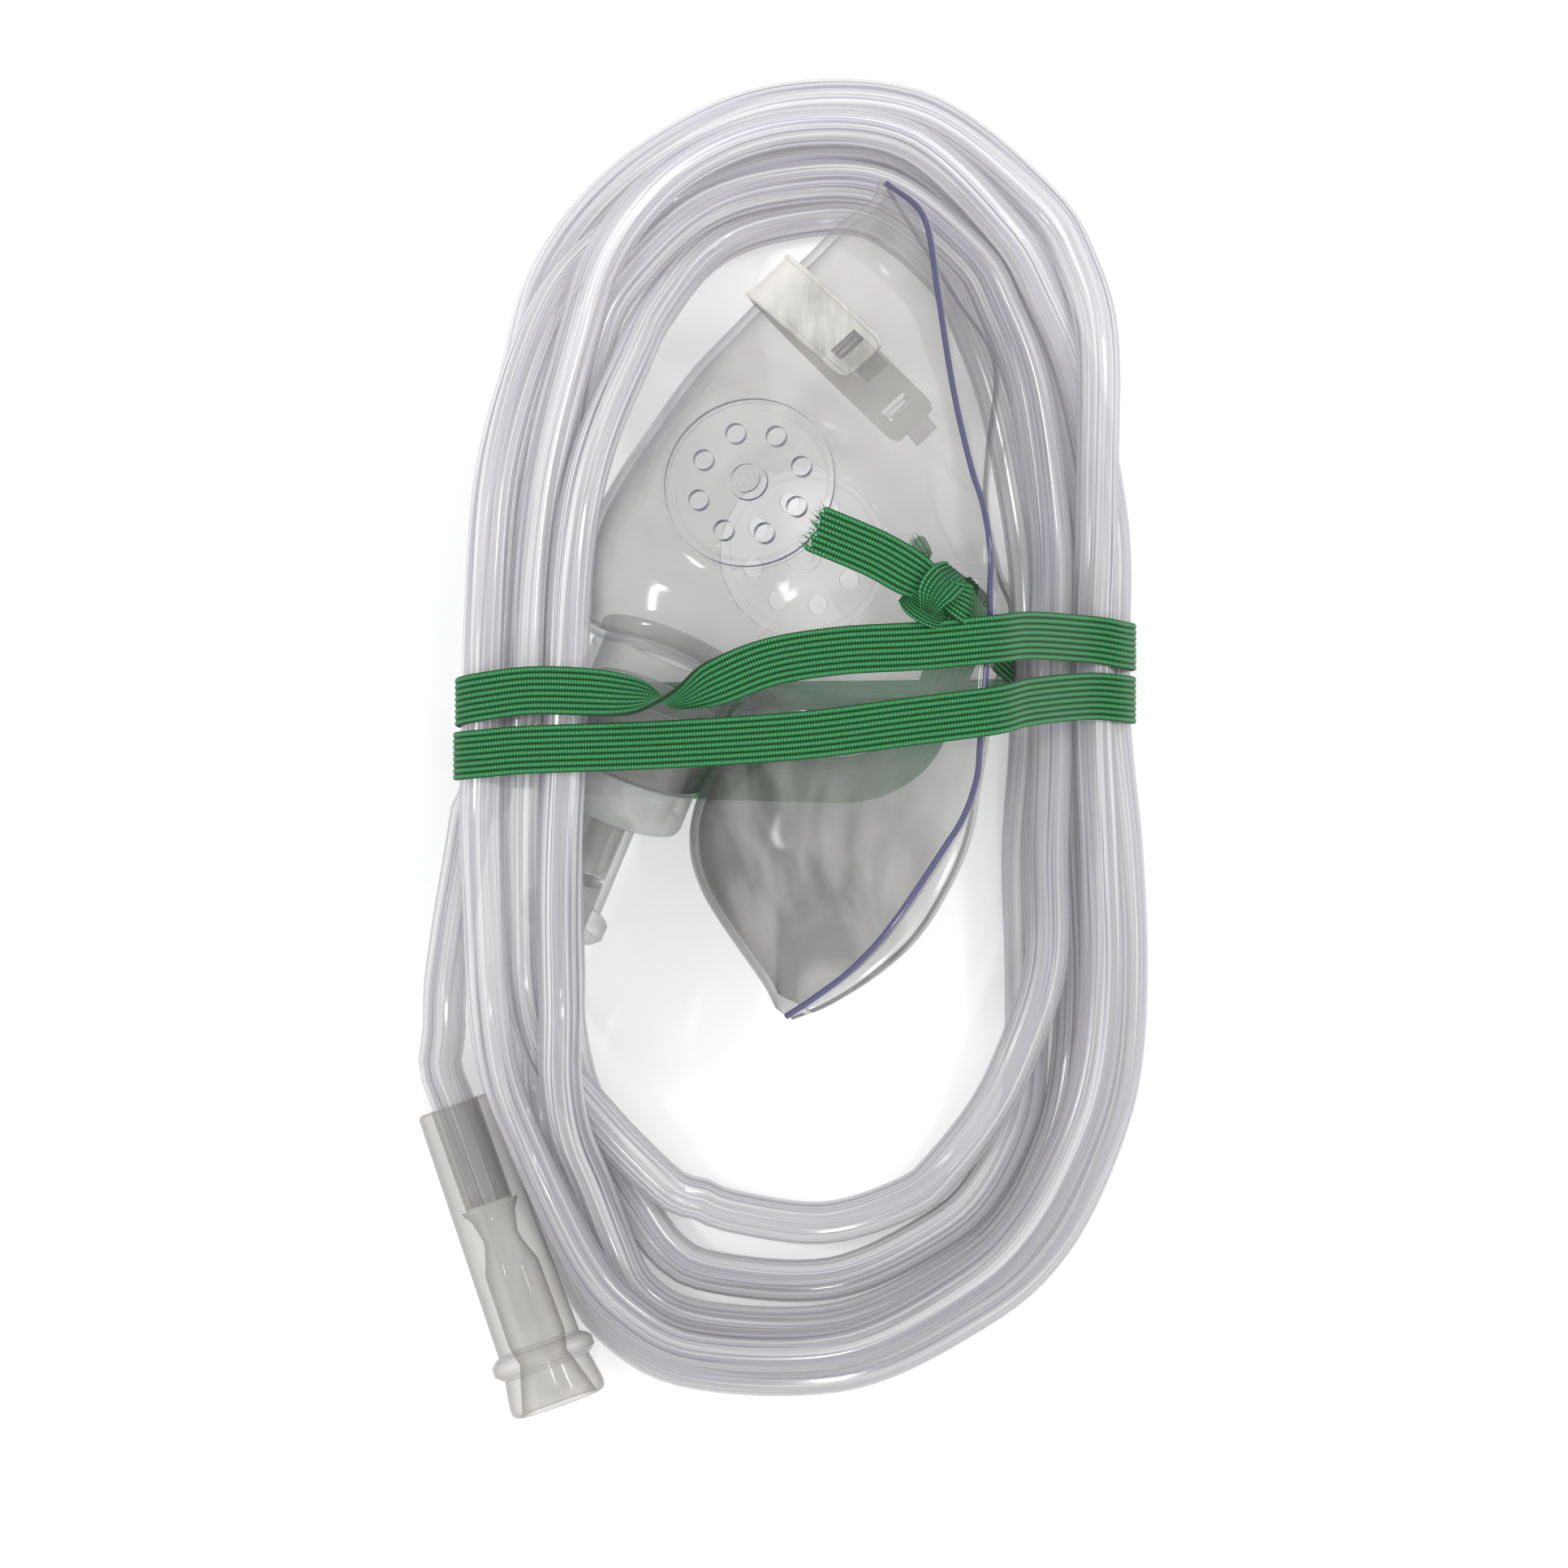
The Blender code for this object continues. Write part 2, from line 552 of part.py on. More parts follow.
def mask_wall():
    """The double-curved wall, open at the face side and closed at nose and chin."""
    stations = shell_stations()
    angles = shell_angles()
    columns = len(angles)
    last = len(stations) - 1
    points = []
    for station in stations:
        for angle in angles:
            points.append(shell_point(station, angle))
    inner = len(points)
    for station in stations:
        middle, reach, half, square = section_frame(station)
        wall = min(SHELL_WALL, 0.4 * half.length, 0.4 * reach.length)
        for angle in angles:
            points.append(shell_offset(station, angle, -wall))
    faces = []
    for i in range(last):
        for j in range(columns - 1):
            a = i * columns + j
            faces.append((a, a + 1, a + columns + 1, a + columns))
            if 1 <= i < last - 1:
                b = inner + a
                faces.append((b, b + columns, b + columns + 1, b + 1))
    for i in range(1, last - 1):
        for j in (0, columns - 1):
            a = i * columns + j
            b = inner + a
            faces.append((a, a + columns, b + columns, b))
    for outer_row, inner_row in ((0, 1), (last, last - 1)):
        a = outer_row * columns
        n = inner_row * columns
        b = inner + n
        faces.append(tuple(range(a, a + columns)))
        faces.append(tuple(range(b, b + columns)))
        faces.append((a, a + columns - 1, n + columns - 1, b + columns - 1, b, n))
    return add_object("mask_shell", points, faces)


def port_frame():
    """The port's root on the step face, with Z out along its bore and X towards the near side."""
    corner = mask_place(CORNER_RIDGE[0], CORNER_RIDGE[1])
    after = SECTIONS[PORT_CORNER_SECTION + 1]
    face = (mask_place(after[0], after[1]) - corner).normalized()
    axis = Vector((face.y, -face.x, 0.0))
    if axis.y > 0:
        axis = -axis
    axis = (axis * math.cos(PORT_TILT) + Vector((0, 0, -math.sin(PORT_TILT)))).normalized()
    centre = corner + face * (PORT_DIAMETER / 2)
    return frame_at(centre, axis, Vector((0, 0, 1)))


def along(frame, distance):
    """The same frame moved along its own Z."""
    return frame @ Matrix.Translation((0, 0, distance))


def add_port(shell):
    """The port tube joined to the step face, then bored through it."""
    frame = port_frame()
    radius = PORT_DIAMETER / 2
    root = -0.0030
    lip = 0.0004
    outer = (
        (0.0, root),
        (radius - lip, root),
        (radius - lip, 0.0),
        (radius, lip),
        (radius, PORT_LENGTH - lip),
        (radius - lip, PORT_LENGTH),
        (0.0, PORT_LENGTH),
    )
    combine(shell, revolve("port", outer, frame), "UNION")
    bore = radius - PORT_WALL
    low = root - SHELL_WALL
    high = PORT_LENGTH + CUT_REACH
    cutter = ((0.0, low), (bore, low), (bore, high), (0.0, high))
    combine(shell, revolve("port_bore", cutter, frame), "DIFFERENCE")


def add_vent(shell, side):
    """One vent plate: a beaded ring let into the cheek, a pierced plate and a dimpled boss."""
    frame = VENT_FRAMES[side]
    inside = VENT_RADIUS - VENT_RING_WIDTH
    window = ((0.0, -CUT_REACH), (inside, -CUT_REACH), (inside, CUT_REACH), (0.0, CUT_REACH))
    combine(shell, revolve("vent_window", window, frame, facets=VENT_FACETS), "DIFFERENCE")
    top = VENT_PLATE_RISE
    low = top - VENT_PLATE_WALL
    skirt = -SHELL_WALL - 0.0002
    boss = VENT_BOSS_RADIUS
    rise = VENT_BOSS_HEIGHT
    profile = (
        (0.0, low),
        (inside - 0.0006, low),
        (inside - 0.0003, skirt),
        (VENT_RADIUS, skirt),
        (VENT_RADIUS, VENT_RING_HEIGHT - 0.0002),
        (inside + VENT_RING_WIDTH * 0.4, VENT_RING_HEIGHT),
        (inside - 0.0002, top),
        (boss, top),
        (boss - 0.0003, top + rise),
        (boss - 0.0010, top + rise),
        (boss - 0.0014, top + 0.0002),
        (0.0, top + 0.0002),
    )
    plate = revolve("vent_plate", profile, frame, facets=VENT_FACETS)
    for k in range(VENT_HOLES):
        turn = 2 * math.pi * (k + 0.5) / VENT_HOLES
        place = Vector((VENT_HOLE_PITCH_RADIUS * math.cos(turn), VENT_HOLE_PITCH_RADIUS * math.sin(turn), 0))
        radius = VENT_HOLE_DIAMETER / 2
        pin = ((0.0, -CUT_REACH), (radius, -CUT_REACH), (radius, CUT_REACH), (0.0, CUT_REACH))
        pin_frame = frame @ Matrix.Translation(place)
        combine(plate, revolve("vent_hole", pin, pin_frame, facets=HOLE_FACETS), "DIFFERENCE")
    combine(shell, plate, "UNION")


def ear_frame(side):
    """The middle of an ear slot, with Z through the slot, X out from the rim and Y along it."""
    middle, reach, half, square = section_frame(EAR_SECTION)
    out = -reach.normalized()
    rim = shell_point(EAR_SECTION, side * math.pi / 2)
    return frame_at(rim - out * EAR_SLOT_INSET, Vector((0, 0, side)), out)


def add_ear_tab(shell, side):
    """A rounded tab on the rim with a slot for the strap."""
    frame = ear_frame(side)
    corner = EAR_TAB_REACH * 0.35
    half_x = EAR_TAB_REACH / 2
    half_y = EAR_TAB_LENGTH / 2
    rings = []
    for height in (-SHELL_WALL - 0.0002, 0.0003):
        ring = []
        for cx, cy, start in ((1, -1, -90), (1, 1, 0)):
            for k in range(5):
                turn = math.radians(start + 90 * k / 4)
                x = EAR_TAB_OUT + cx * (half_x - corner) + corner * math.cos(turn)
                y = cy * (half_y - corner) + corner * math.sin(turn)
                ring.append(frame @ Vector((x, y, height)))
        ring.append(frame @ Vector((EAR_TAB_OUT - half_x, half_y, height)))
        ring.append(frame @ Vector((EAR_TAB_OUT - half_x, -half_y, height)))
        rings.append(ring)
    combine(shell, ring_solid("ear_tab", rings, False), "UNION")
    slot_size = (EAR_SLOT_WIDTH, EAR_SLOT_LENGTH, SHELL_WALL + 2 * CUT_REACH)
    combine(shell, block("ear_slot", frame, slot_size), "DIFFERENCE")


def strip_grid(angles, half_width, low, high):
    """Rings of a strip that follows the shell across the ridge, between two offsets from it."""
    rings = []
    for angle in angles:
        along_ridge = shell_point(CLIP_SECTION + 0.2, angle) - shell_point(CLIP_SECTION - 0.2, angle)
        ahead = shell_point(CLIP_SECTION, angle + NORMAL_TURN)
        along_leg = ahead - shell_point(CLIP_SECTION, angle - NORMAL_TURN)
        normal = shell_normal(CLIP_SECTION, angle)
        side = along_leg.cross(normal).normalized()
        if side.dot(along_ridge) < 0:
            side = -side
        centre = shell_point(CLIP_SECTION, angle)
        ring = []
        for across, out in ((-1, low), (1, low), (1, high), (-1, high)):
            ring.append(centre + side * (across * half_width) + normal * out)
        rings.append(ring)
    return rings


def add_nose_clip():
    """The bent strip with a slot near each end."""
    count = 26
    sweep = CLIP_NEAR_ANGLE + CLIP_FAR_ANGLE
    angles = [sweep * k / count - CLIP_FAR_ANGLE for k in range(count + 1)]
    top = CLIP_LIFT + CLIP_THICKNESS
    clip = ring_solid("nose_clip", strip_grid(angles, CLIP_WIDTH / 2, CLIP_LIFT, top), False)
    for side in (-1, 1):
        slot_size = (CLIP_SLOT_WIDTH, CLIP_SLOT_LENGTH, 2 * CUT_REACH)
        combine(clip, block("clip_slot", clip_slot_frame(side), slot_size), "DIFFERENCE")
    finish_object(clip, ALUMINIUM)


def clip_slot_frame(side):
    """The middle of a clip slot, with Z out of the shell and X on towards the leg's end."""
    middle = side * ((CLIP_NEAR_ANGLE if side > 0 else CLIP_FAR_ANGLE) - CLIP_SLOT_INSET)
    turn = side * NORMAL_TURN
    leg = shell_point(CLIP_SECTION, middle + turn) - shell_point(CLIP_SECTION, middle - turn)
    return frame_at(shell_point(CLIP_SECTION, middle), shell_normal(CLIP_SECTION, middle), leg)


def add_tongue(shell, side):
    """A strap of the shell that comes up through the clip's slot and lies past its end."""
    frame = clip_slot_frame(side)
    over = CLIP_LIFT + CLIP_THICKNESS + FIT_GAP + TONGUE_THICKNESS / 2
    path = [Vector((0, 0, -SHELL_WALL * 0.7)), Vector((0, 0, CLIP_LIFT + CLIP_THICKNESS * 0.6))]
    path.append(Vector((TONGUE_THICKNESS * 0.5, 0, over - 0.0001)))
    path.append(Vector((TONGUE_THICKNESS * 1.6, 0, over + 0.0002)))
    path.append(Vector((TONGUE_LENGTH * 0.6, 0, over)))
    path.append(Vector((TONGUE_LENGTH, 0, over - TONGUE_THICKNESS)))
    rings = []
    for i, place in enumerate(path):
        heading = (path[min(i + 1, len(path) - 1)] - path[max(i - 1, 0)]).normalized()
        out = Vector((-heading.z, 0, heading.x)) * (TONGUE_THICKNESS / 2)
        wide = Vector((0, TONGUE_WIDTH / 2, 0))
        rings.append([frame @ (place + p) for p in (-wide - out, wide - out, wide + out, -wide + out)])
    combine(shell, ring_solid("tongue", rings, False), "UNION")


def build_mask():
    """The whole clear moulding."""
    shell = mask_wall()
    for side in (1, -1):
        add_vent(shell, side)
        add_tongue(shell, side)
        add_ear_tab(shell, side)
    add_port(shell)
    finish_object(shell, CLEAR_VINYL)


def build_adapter():
    """The frosted cup: a plug in the port, a shoulder against its mouth and a nipple."""
    frame = along(port_frame(), PORT_LENGTH + FIT_GAP)
    plug = PORT_DIAMETER / 2 - PORT_WALL - FIT_GAP
    shoulder = ADAPTER_SHOULDER_DIAMETER / 2
    floor = ADAPTER_SHOULDER_LENGTH
    inside = plug - ADAPTER_WALL
    nipple = NIPPLE_DIAMETER / 2
    tip = floor + SLEEVE_STANDOFF + NIPPLE_LENGTH
    bore = NIPPLE_BORE / 2
    profile = (
        (bore, floor - ADAPTER_WALL),
        (inside, floor - ADAPTER_WALL),
        (inside, -ADAPTER_PLUG_LENGTH),
        (plug - 0.0004, -ADAPTER_PLUG_LENGTH),
        (plug, -ADAPTER_PLUG_LENGTH + 0.0004),
        (plug, 0.0),
        (shoulder, 0.0),
        (shoulder, floor - 0.0006),
        (shoulder - 0.0006, floor),
        (nipple, floor),
        (nipple, tip - 0.0006),
        (nipple - 0.0005, tip),
        (bore, tip),
    )
    adapter = revolve("port_adapter", profile, frame)
    for side in (1, -1):
        turn = Matrix.Rotation(side * math.radians(61.0) + math.pi, 4, "Z")
        height = floor - ADAPTER_WALL - ADAPTER_WINDOW_HEIGHT / 2
        place = frame @ turn @ Matrix.Translation(((inside + shoulder) / 2, 0, height))
        size = (shoulder - inside + CUT_REACH, ADAPTER_WINDOW_WIDTH, ADAPTER_WINDOW_HEIGHT)
        combine(adapter, block("adapter_window", place, size), "DIFFERENCE")
    finish_object(adapter, FROSTED)


def sleeve_frame():
    """The sleeve's end next to the adapter, with Z on towards the tubing."""
    return along(port_frame(), PORT_LENGTH + FIT_GAP + ADAPTER_SHOULDER_LENGTH + SLEEVE_STANDOFF)


def build_sleeve():
    """The clear sleeve: the nipple's socket, a stop, the tubing's socket and a collar."""
    outer = SLEEVE_DIAMETER / 2
    collar = SLEEVE_COLLAR_DIAMETER / 2
    socket = NIPPLE_DIAMETER / 2 + FIT_GAP
    tube_socket = TUBE_DIAMETER / 2 + FIT_GAP
    stop_end = SLEEVE_LENGTH - TUBE_DEPTH_IN_SLEEVE - FIT_GAP
    stop = stop_end - SLEEVE_STOP
    collar_start = SLEEVE_LENGTH - SLEEVE_COLLAR_THICKNESS
    edge = 0.0004
    profile = (
        (socket, 0.0),
        (outer - edge, 0.0),
        (outer, edge),
        (outer, collar_start),
        (collar - edge, collar_start),
        (collar, collar_start + edge),
        (collar, SLEEVE_LENGTH - edge),
        (collar - edge, SLEEVE_LENGTH),
        (tube_socket, SLEEVE_LENGTH),
        (tube_socket, stop_end),
        (NIPPLE_BORE / 2, stop_end),
        (NIPPLE_BORE / 2, stop),
        (socket, stop),
    )
    revolve("mask_tube_connector", profile, sleeve_frame(), CLEAR_VINYL)


def supply_frame():
    """The supply connector's top, with Z on towards its funnel."""
    return frame_at(SUPPLY_TOP, SUPPLY_HEADING, Vector((0, 0, 1)))


def build_supply():
    """The clear funnel connector: tube socket, chamber, throat, collar and flared mouth."""
    top = SUPPLY_TOP_DIAMETER / 2
    barrel = SUPPLY_BARREL_DIAMETER / 2
    collar = SUPPLY_COLLAR_DIAMETER / 2
    waist = SUPPLY_WAIST_DIAMETER / 2
    mouth = SUPPLY_MOUTH_DIAMETER / 2
    mouth_bore = SUPPLY_MOUTH_BORE / 2
    chamber = SUPPLY_CHAMBER_DIAMETER / 2
    bore = SUPPLY_BORE / 2
    socket = TUBE_DIAMETER / 2 + FIT_GAP
    stop = TUBE_DEPTH_IN_SUPPLY + FIT_GAP
    collar_end = SUPPLY_COLLAR_PLACE + SUPPLY_COLLAR_THICKNESS
    edge = 0.0005
    profile = (
        (socket, 0.0),
        (top - edge, 0.0),
        (top, edge),
        (barrel, SUPPLY_COLLAR_PLACE),
        (collar - edge, SUPPLY_COLLAR_PLACE + edge),
        (collar, SUPPLY_COLLAR_PLACE + 2 * edge),
        (collar, collar_end - 2 * edge),
        (collar - edge, collar_end - edge),
        (waist, collar_end),
        (waist + edge, (collar_end + SUPPLY_LENGTH) / 2),
        (mouth, SUPPLY_LENGTH - 2 * edge),
        (mouth - edge, SUPPLY_LENGTH),
        (mouth_bore, SUPPLY_LENGTH),
        (bore + edge, collar_end - edge),
        (bore, collar_end - 3 * edge),
        (bore, stop + 0.0095),
        (chamber, stop + 0.0050),
        (chamber, stop + 2 * edge),
        (bore - 2 * edge, stop + 2 * edge),
        (bore - 2 * edge, stop),
        (socket, stop),
    )
    revolve("supply_connector", profile, supply_frame(), CLEAR_VINYL)


def coil_rows():
    """The smooth closed line of the coil with its half width and half height."""
    return smooth_rows(COIL_STATIONS, COIL_STEPS, closed=True)


def build_coil():
    """One closed solid of the bundle's outer shape, the turns side by side and on each other."""
    rows = coil_rows()
    count = len(rows)
    rings = []
    sides = 12
    for i, row in enumerate(rows):
        ahead = Vector(rows[(i + 1) % count][:3]) - Vector(rows[i - 1][:3])
        flat = Vector((ahead.x, ahead.y, 0)).normalized()
        out = Vector((-flat.y, flat.x, 0))
        up = ahead.normalized().cross(out)
        if up.z < 0:
            up = -up
        ring = []
        for k in range(sides):
            turn = 2 * math.pi * k / sides
            across = math.copysign(abs(math.cos(turn)) ** 0.8, math.cos(turn))
            rise = math.copysign(abs(math.sin(turn)) ** 0.8, math.sin(turn))
            ring.append(Vector(row[:3]) + out * (row[3] * across) + up * (row[4] * rise))
        rings.append(ring)
    ring_solid("tubing_coil", rings, True, CLEAR_VINYL)


def add_tube(name, route):
    """A round tube along a route, as a curve with a bevel and filled ends."""
    curve = bpy.data.curves.new(name, "CURVE")
    curve.dimensions = "3D"
    curve.bevel_depth = TUBE_DIAMETER / 2
    curve.bevel_resolution = 2
    curve.use_fill_caps = True
    spline = curve.splines.new("POLY")
    spline.points.add(len(route) - 1)
    for point, place in zip(spline.points, route):
        point.co = (place[0], place[1], place[2], 1.0)
    made = bpy.data.objects.new(name, curve)
    bpy.context.collection.objects.link(made)
    made.data.materials.append(material(name, *CLEAR_VINYL))


def straight_points(frame, low, high):
    """Evenly spaced points on a frame's Z, no more than a tube's width or so apart."""
    count = max(2, round((high - low) / (TUBE_DIAMETER * 0.75)))
    return [tuple(frame @ Vector((0, 0, low + (high - low) * k / count))) for k in range(count + 1)]


def build_tubing():
    """The two uncoiled stretches and the coil."""
    frame = along(sleeve_frame(), SLEEVE_LENGTH)
    start = straight_points(frame, -TUBE_DEPTH_IN_SLEEVE, STRAIGHT_EXIT)
    add_tube("tubing_lead", smooth_rows(start + list(LEAD_ROUTE), 3))
    frame = supply_frame()
    end = straight_points(frame, -STRAIGHT_EXIT, TUBE_DEPTH_IN_SUPPLY)
    add_tube("tubing_tail", smooth_rows(list(TAIL_ROUTE) + end, 3))
    build_coil()


def strap_ring(centre, width, normal, swell):
    """One ribbed section of the elastic, or of a knot in it where the swell is more than none."""
    ring = []
    count = 2 * STRAP_RIBS
    half_width = (STRAP_WIDTH + (KNOT_WIDTH - STRAP_WIDTH) * swell) / 2
    half_thickness = (STRAP_THICKNESS + (KNOT_THICKNESS - STRAP_THICKNESS) * swell) / 2
    for face in (1, -1):
        for k in range(count + 1):
            share = k / count if face > 0 else 1 - k / count
            place = 2 * share - 1
            rib = 0.0 if k % 2 else STRAP_RIB_DEPTH
            round_off = math.sqrt(max(0.0, 1 - (place * 0.97) ** 2))
            lift = half_thickness * (1 - swell + swell * round_off) - rib
            ring.append(centre + width * (place * half_width) + normal * (face * max(lift, 0.0001)))
    return ring


def strap_place(row):
    """A row of the strap's route in the part's own frame: place, then the direction of the width."""
    x, y, height, on_mask, *width = row
    return (x, y, height + on_mask * MASK_MID_HEIGHT, *width)


def strap_rows():
    """The smooth route of the strap, with a row between two others only where it bends."""
    rows = smooth_rows([strap_place(row) for row in STRAP_ROUTE], 2)
    kept = [rows[0]]
    for i in range(1, len(rows) - 1):
        before = Vector(rows[i][:3] - rows[i - 1][:3])
        after = Vector(rows[i + 1][:3] - rows[i][:3])
        if i % 2 == 0 or before.angle(after) > STRAP_BEND:
            kept.append(rows[i])
    kept.append(rows[-1])
    return kept


def build_strap():
    """The elastic swept along its route, swollen into a knot at each end."""
    rows = strap_rows()
    knots = [Vector(strap_place((*knot, 1))) for knot in KNOTS]
    rings = []
    for i, row in enumerate(rows):
        before = rows[max(i - 1, 0)]
        after = rows[min(i + 1, len(rows) - 1)]
        ahead = (Vector(after[:3]) - Vector(before[:3])).normalized()
        width = Vector(row[3:6])
        width = (width - ahead * width.dot(ahead)).normalized()
        away = min((Vector(row[:3]) - knot).length for knot in knots)
        swell = math.exp(-((away / KNOT_REACH) ** 4))
        rings.append(strap_ring(Vector(row[:3]), width, ahead.cross(width), swell))
    strap = ring_solid("head_strap", rings, False)
    finish_object(strap, GREEN_ELASTIC, 80.0)


def clear_scene():
    """Removes what the file opened with."""
    for old in list(bpy.data.objects):
        bpy.data.objects.remove(old)


clear_scene()
build_mask()
add_nose_clip()
build_adapter()
build_sleeve()
build_supply()
build_tubing()
build_strap()
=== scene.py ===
"""An adult oxygen face mask as packed.

The clear mask lies on its side inside the coil of its clear tubing, tied with its green head strap.
"""

import math

import bmesh
import bpy
import numpy as np
from mathutils import Matrix, Vector
from mathutils.bvhtree import BVHTree
from mathutils.kdtree import KDTree


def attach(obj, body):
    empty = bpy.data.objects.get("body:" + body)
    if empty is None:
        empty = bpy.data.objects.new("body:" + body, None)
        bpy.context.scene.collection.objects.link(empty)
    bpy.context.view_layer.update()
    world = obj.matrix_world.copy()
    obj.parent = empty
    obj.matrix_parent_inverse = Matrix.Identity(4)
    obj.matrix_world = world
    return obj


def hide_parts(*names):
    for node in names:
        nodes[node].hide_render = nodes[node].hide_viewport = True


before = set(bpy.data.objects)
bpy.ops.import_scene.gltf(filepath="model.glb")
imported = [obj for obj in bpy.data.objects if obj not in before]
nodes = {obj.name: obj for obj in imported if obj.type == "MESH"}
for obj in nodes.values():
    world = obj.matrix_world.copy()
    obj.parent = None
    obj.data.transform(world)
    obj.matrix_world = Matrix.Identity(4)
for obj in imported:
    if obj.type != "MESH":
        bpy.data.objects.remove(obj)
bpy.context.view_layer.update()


# Camera. The pack was photographed from straight above, in the middle of a square frame,
# with a long lens, so its sides hardly show.
CAMERA_AIM = Vector((-0.0021, -0.0272, 0.020))
CAMERA_DISTANCE = 1.20
FRAME_WIDTH = 0.2318
SENSOR_WIDTH = 36.0


def placed(name, data):
    """Adds an object with the given data to the scene."""
    made = bpy.data.objects.new(name, data)
    bpy.context.scene.collection.objects.link(made)
    return made


camera_data = bpy.data.cameras.new("camera")
camera_data.sensor_width = SENSOR_WIDTH
camera_data.lens = SENSOR_WIDTH * CAMERA_DISTANCE / FRAME_WIDTH
camera_data.clip_start = 0.05
camera_data.clip_end = 20.0
camera = placed("camera", camera_data)
camera.location = CAMERA_AIM + Vector((0, 0, CAMERA_DISTANCE))
bpy.context.scene.camera = camera
bpy.context.scene.view_settings.view_transform = "Standard"


# Tubing. One length of extruded clear soft PVC tube with a star-shaped lumen, wound five times
# round the mask. It is pushed into the sleeve at one end and into the supply connector at the other.
TUBE_DIAMETER = 0.0067
TUBE_WALL_ACROSS = 0.0065
SLEEVE_END = Vector((-0.035489, -0.048400, 0.013572))
SLEEVE_HEADING = Vector((-0.3763, -0.8943, -0.2419))
SUPPLY_TOP = Vector((-0.0514, -0.0750, 0.0079))
SUPPLY_HEADING = Vector((0.334179, -0.942505, 0.003002))
DEPTH_IN_SLEEVE = 0.0080
DEPTH_IN_SUPPLY = 0.0156
MIDDLE_IN_SUPPLY = 0.0080
STRAIGHT_EXIT = 0.0060
TENTHS = 1e4
# The lead from the sleeve to the underside of the coil, and the tail from the coil to the
# connector, in tenths of a millimetre as all routes here
LEAD_ROUTE = ((-394, -600, 98), (-402, -660, 76), (-401, -710, 56), (-394, -755, 44))
TAIL_ROUTE = ((-476, -282, 243), (-492, -370, 212), (-510, -470, 166), (-525, -570, 115), (-528, -640, 89))
# Stations of the coil, anticlockwise from its lower left: x, y, z of the bundle's middle, then its
# half width and half height
COIL_STATIONS = (
    (-318, -841, 92, 92, 58), (-264, -931, 62, 112, 56), (-212, -990, 57, 134, 55),
    (-136, -1031, 55, 143, 53), (56, -1039, 55, 136, 53), (218, -970, 57, 118, 55),
    (296, -901, 58, 113, 56), (362, -793, 60, 108, 58), (397, -685, 62, 110, 60),
    (416, -541, 67, 102, 60), (412, -373, 80, 97, 60), (411, -193, 90, 77, 60), (409, -25, 90, 74, 60),
    (404, 119, 87, 75, 60), (376, 322, 76, 80, 60), (334, 450, 68, 91, 60), (286, 539, 64, 100, 60),
    (148, 653, 62, 113, 60), (-19, 662, 64, 112, 60), (-172, 602, 88, 93, 60), (-285, 486, 145, 78, 60),
    (-334, 371, 200, 78, 60), (-381, 167, 280, 78, 60), (-399, -73, 322, 78, 60),
    (-403, -270, 322, 78, 60), (-403, -433, 302, 78, 60), (-400, -571, 262, 78, 60),
    (-390, -669, 200, 80, 60), (-362, -753, 140, 82, 60),
)
# Places in the bundle at the bottom, right, top and left, as shares of the half width outwards
# and of the half height upwards
BOTTOM_PLACES = ((1.0, -1.0), (0.62, 1.0), (0.40, -1.0), (-1.0, -1.0), (-0.15, -1.0))
SIDE_PLACES = ((1.0, -1.0), (0.5, 1.0), (0.0, -1.0), (-0.5, 1.0), (-1.0, -1.0))
LEFT_PLACES = ((1.0, -1.0), (1.0, 1.0), (0.0, 0.0), (-1.0, 1.0), (-1.0, -1.0))
# The place that each turn takes at the bottom, right, top and left
TURN_PLACES = ((0, 0, 1, 2), (3, 3, 3, 4), (4, 4, 4, 3), (2, 2, 2, 1), (1, 1, 0, 0))
# Stations from which, and up to which, the turns keep those places
BOTTOM_SPAN = (2, 6)
RIGHT_SPAN = (9, 13)
TOP_SPAN = (16, 19)
LEFT_SPAN = (22, 26)
TURN_LAST_STATION = 24
ROUTE_STEP = 0.0025
RELAX_ROUNDS = 260
ROUTE_SMOOTHING = 12
TUBE_SIDES = 20


def smooth_rows(rows, steps):
    """Rows of a smooth curve through the given rows, in any number of columns."""
    rows = np.array(rows, dtype=float)
    result = []
    for span in range(len(rows) - 1):
        b, c = rows[span], rows[span + 1]
        a = rows[span - 1] if span else 2 * b - c
        d = rows[span + 2] if span + 2 < len(rows) else 2 * c - b
        for k in range(steps):
            t = k / steps
            square = (2 * a - 5 * b + 4 * c - d) * t * t
            cube = (3 * b - a - 3 * c + d) * t**3
            result.append((2 * b + (c - a) * t + square + cube) / 2)
    result.append(rows[-1])
    return np.array(result)


def path_lengths(line):
    """The way along a line from its start to each of its points."""
    return np.concatenate(([0.0], np.cumsum(np.linalg.norm(np.diff(line, axis=0), axis=1))))


def headings(line):
    """The unit heading at each point of a line."""
    heading = np.gradient(line, axis=0)
    return heading / np.linalg.norm(heading, axis=1)[:, None]


def even_steps(line, step):
    """The same line with its points an even step apart."""
    lengths = path_lengths(line)
    count = max(2, int(round(lengths[-1] / step)))
    places = np.linspace(0.0, lengths[-1], count + 1)
    return np.stack([np.interp(places, lengths, line[:, k]) for k in range(line.shape[1])], axis=1)


def place_keys(turn):
    """Stations and bundle places that one turn passes, from its start to the next turn's."""
    bottom, right, top, left = TURN_PLACES[turn]
    keys = []
    for span, places, slot in (
        (BOTTOM_SPAN, BOTTOM_PLACES, bottom),
        (RIGHT_SPAN, SIDE_PLACES, right),
        (TOP_SPAN, SIDE_PLACES, top),
        (LEFT_SPAN, LEFT_PLACES, left),
    ):
        for station in span:
            keys.append((turn * len(COIL_STATIONS) + station, *places[slot]))
    return keys


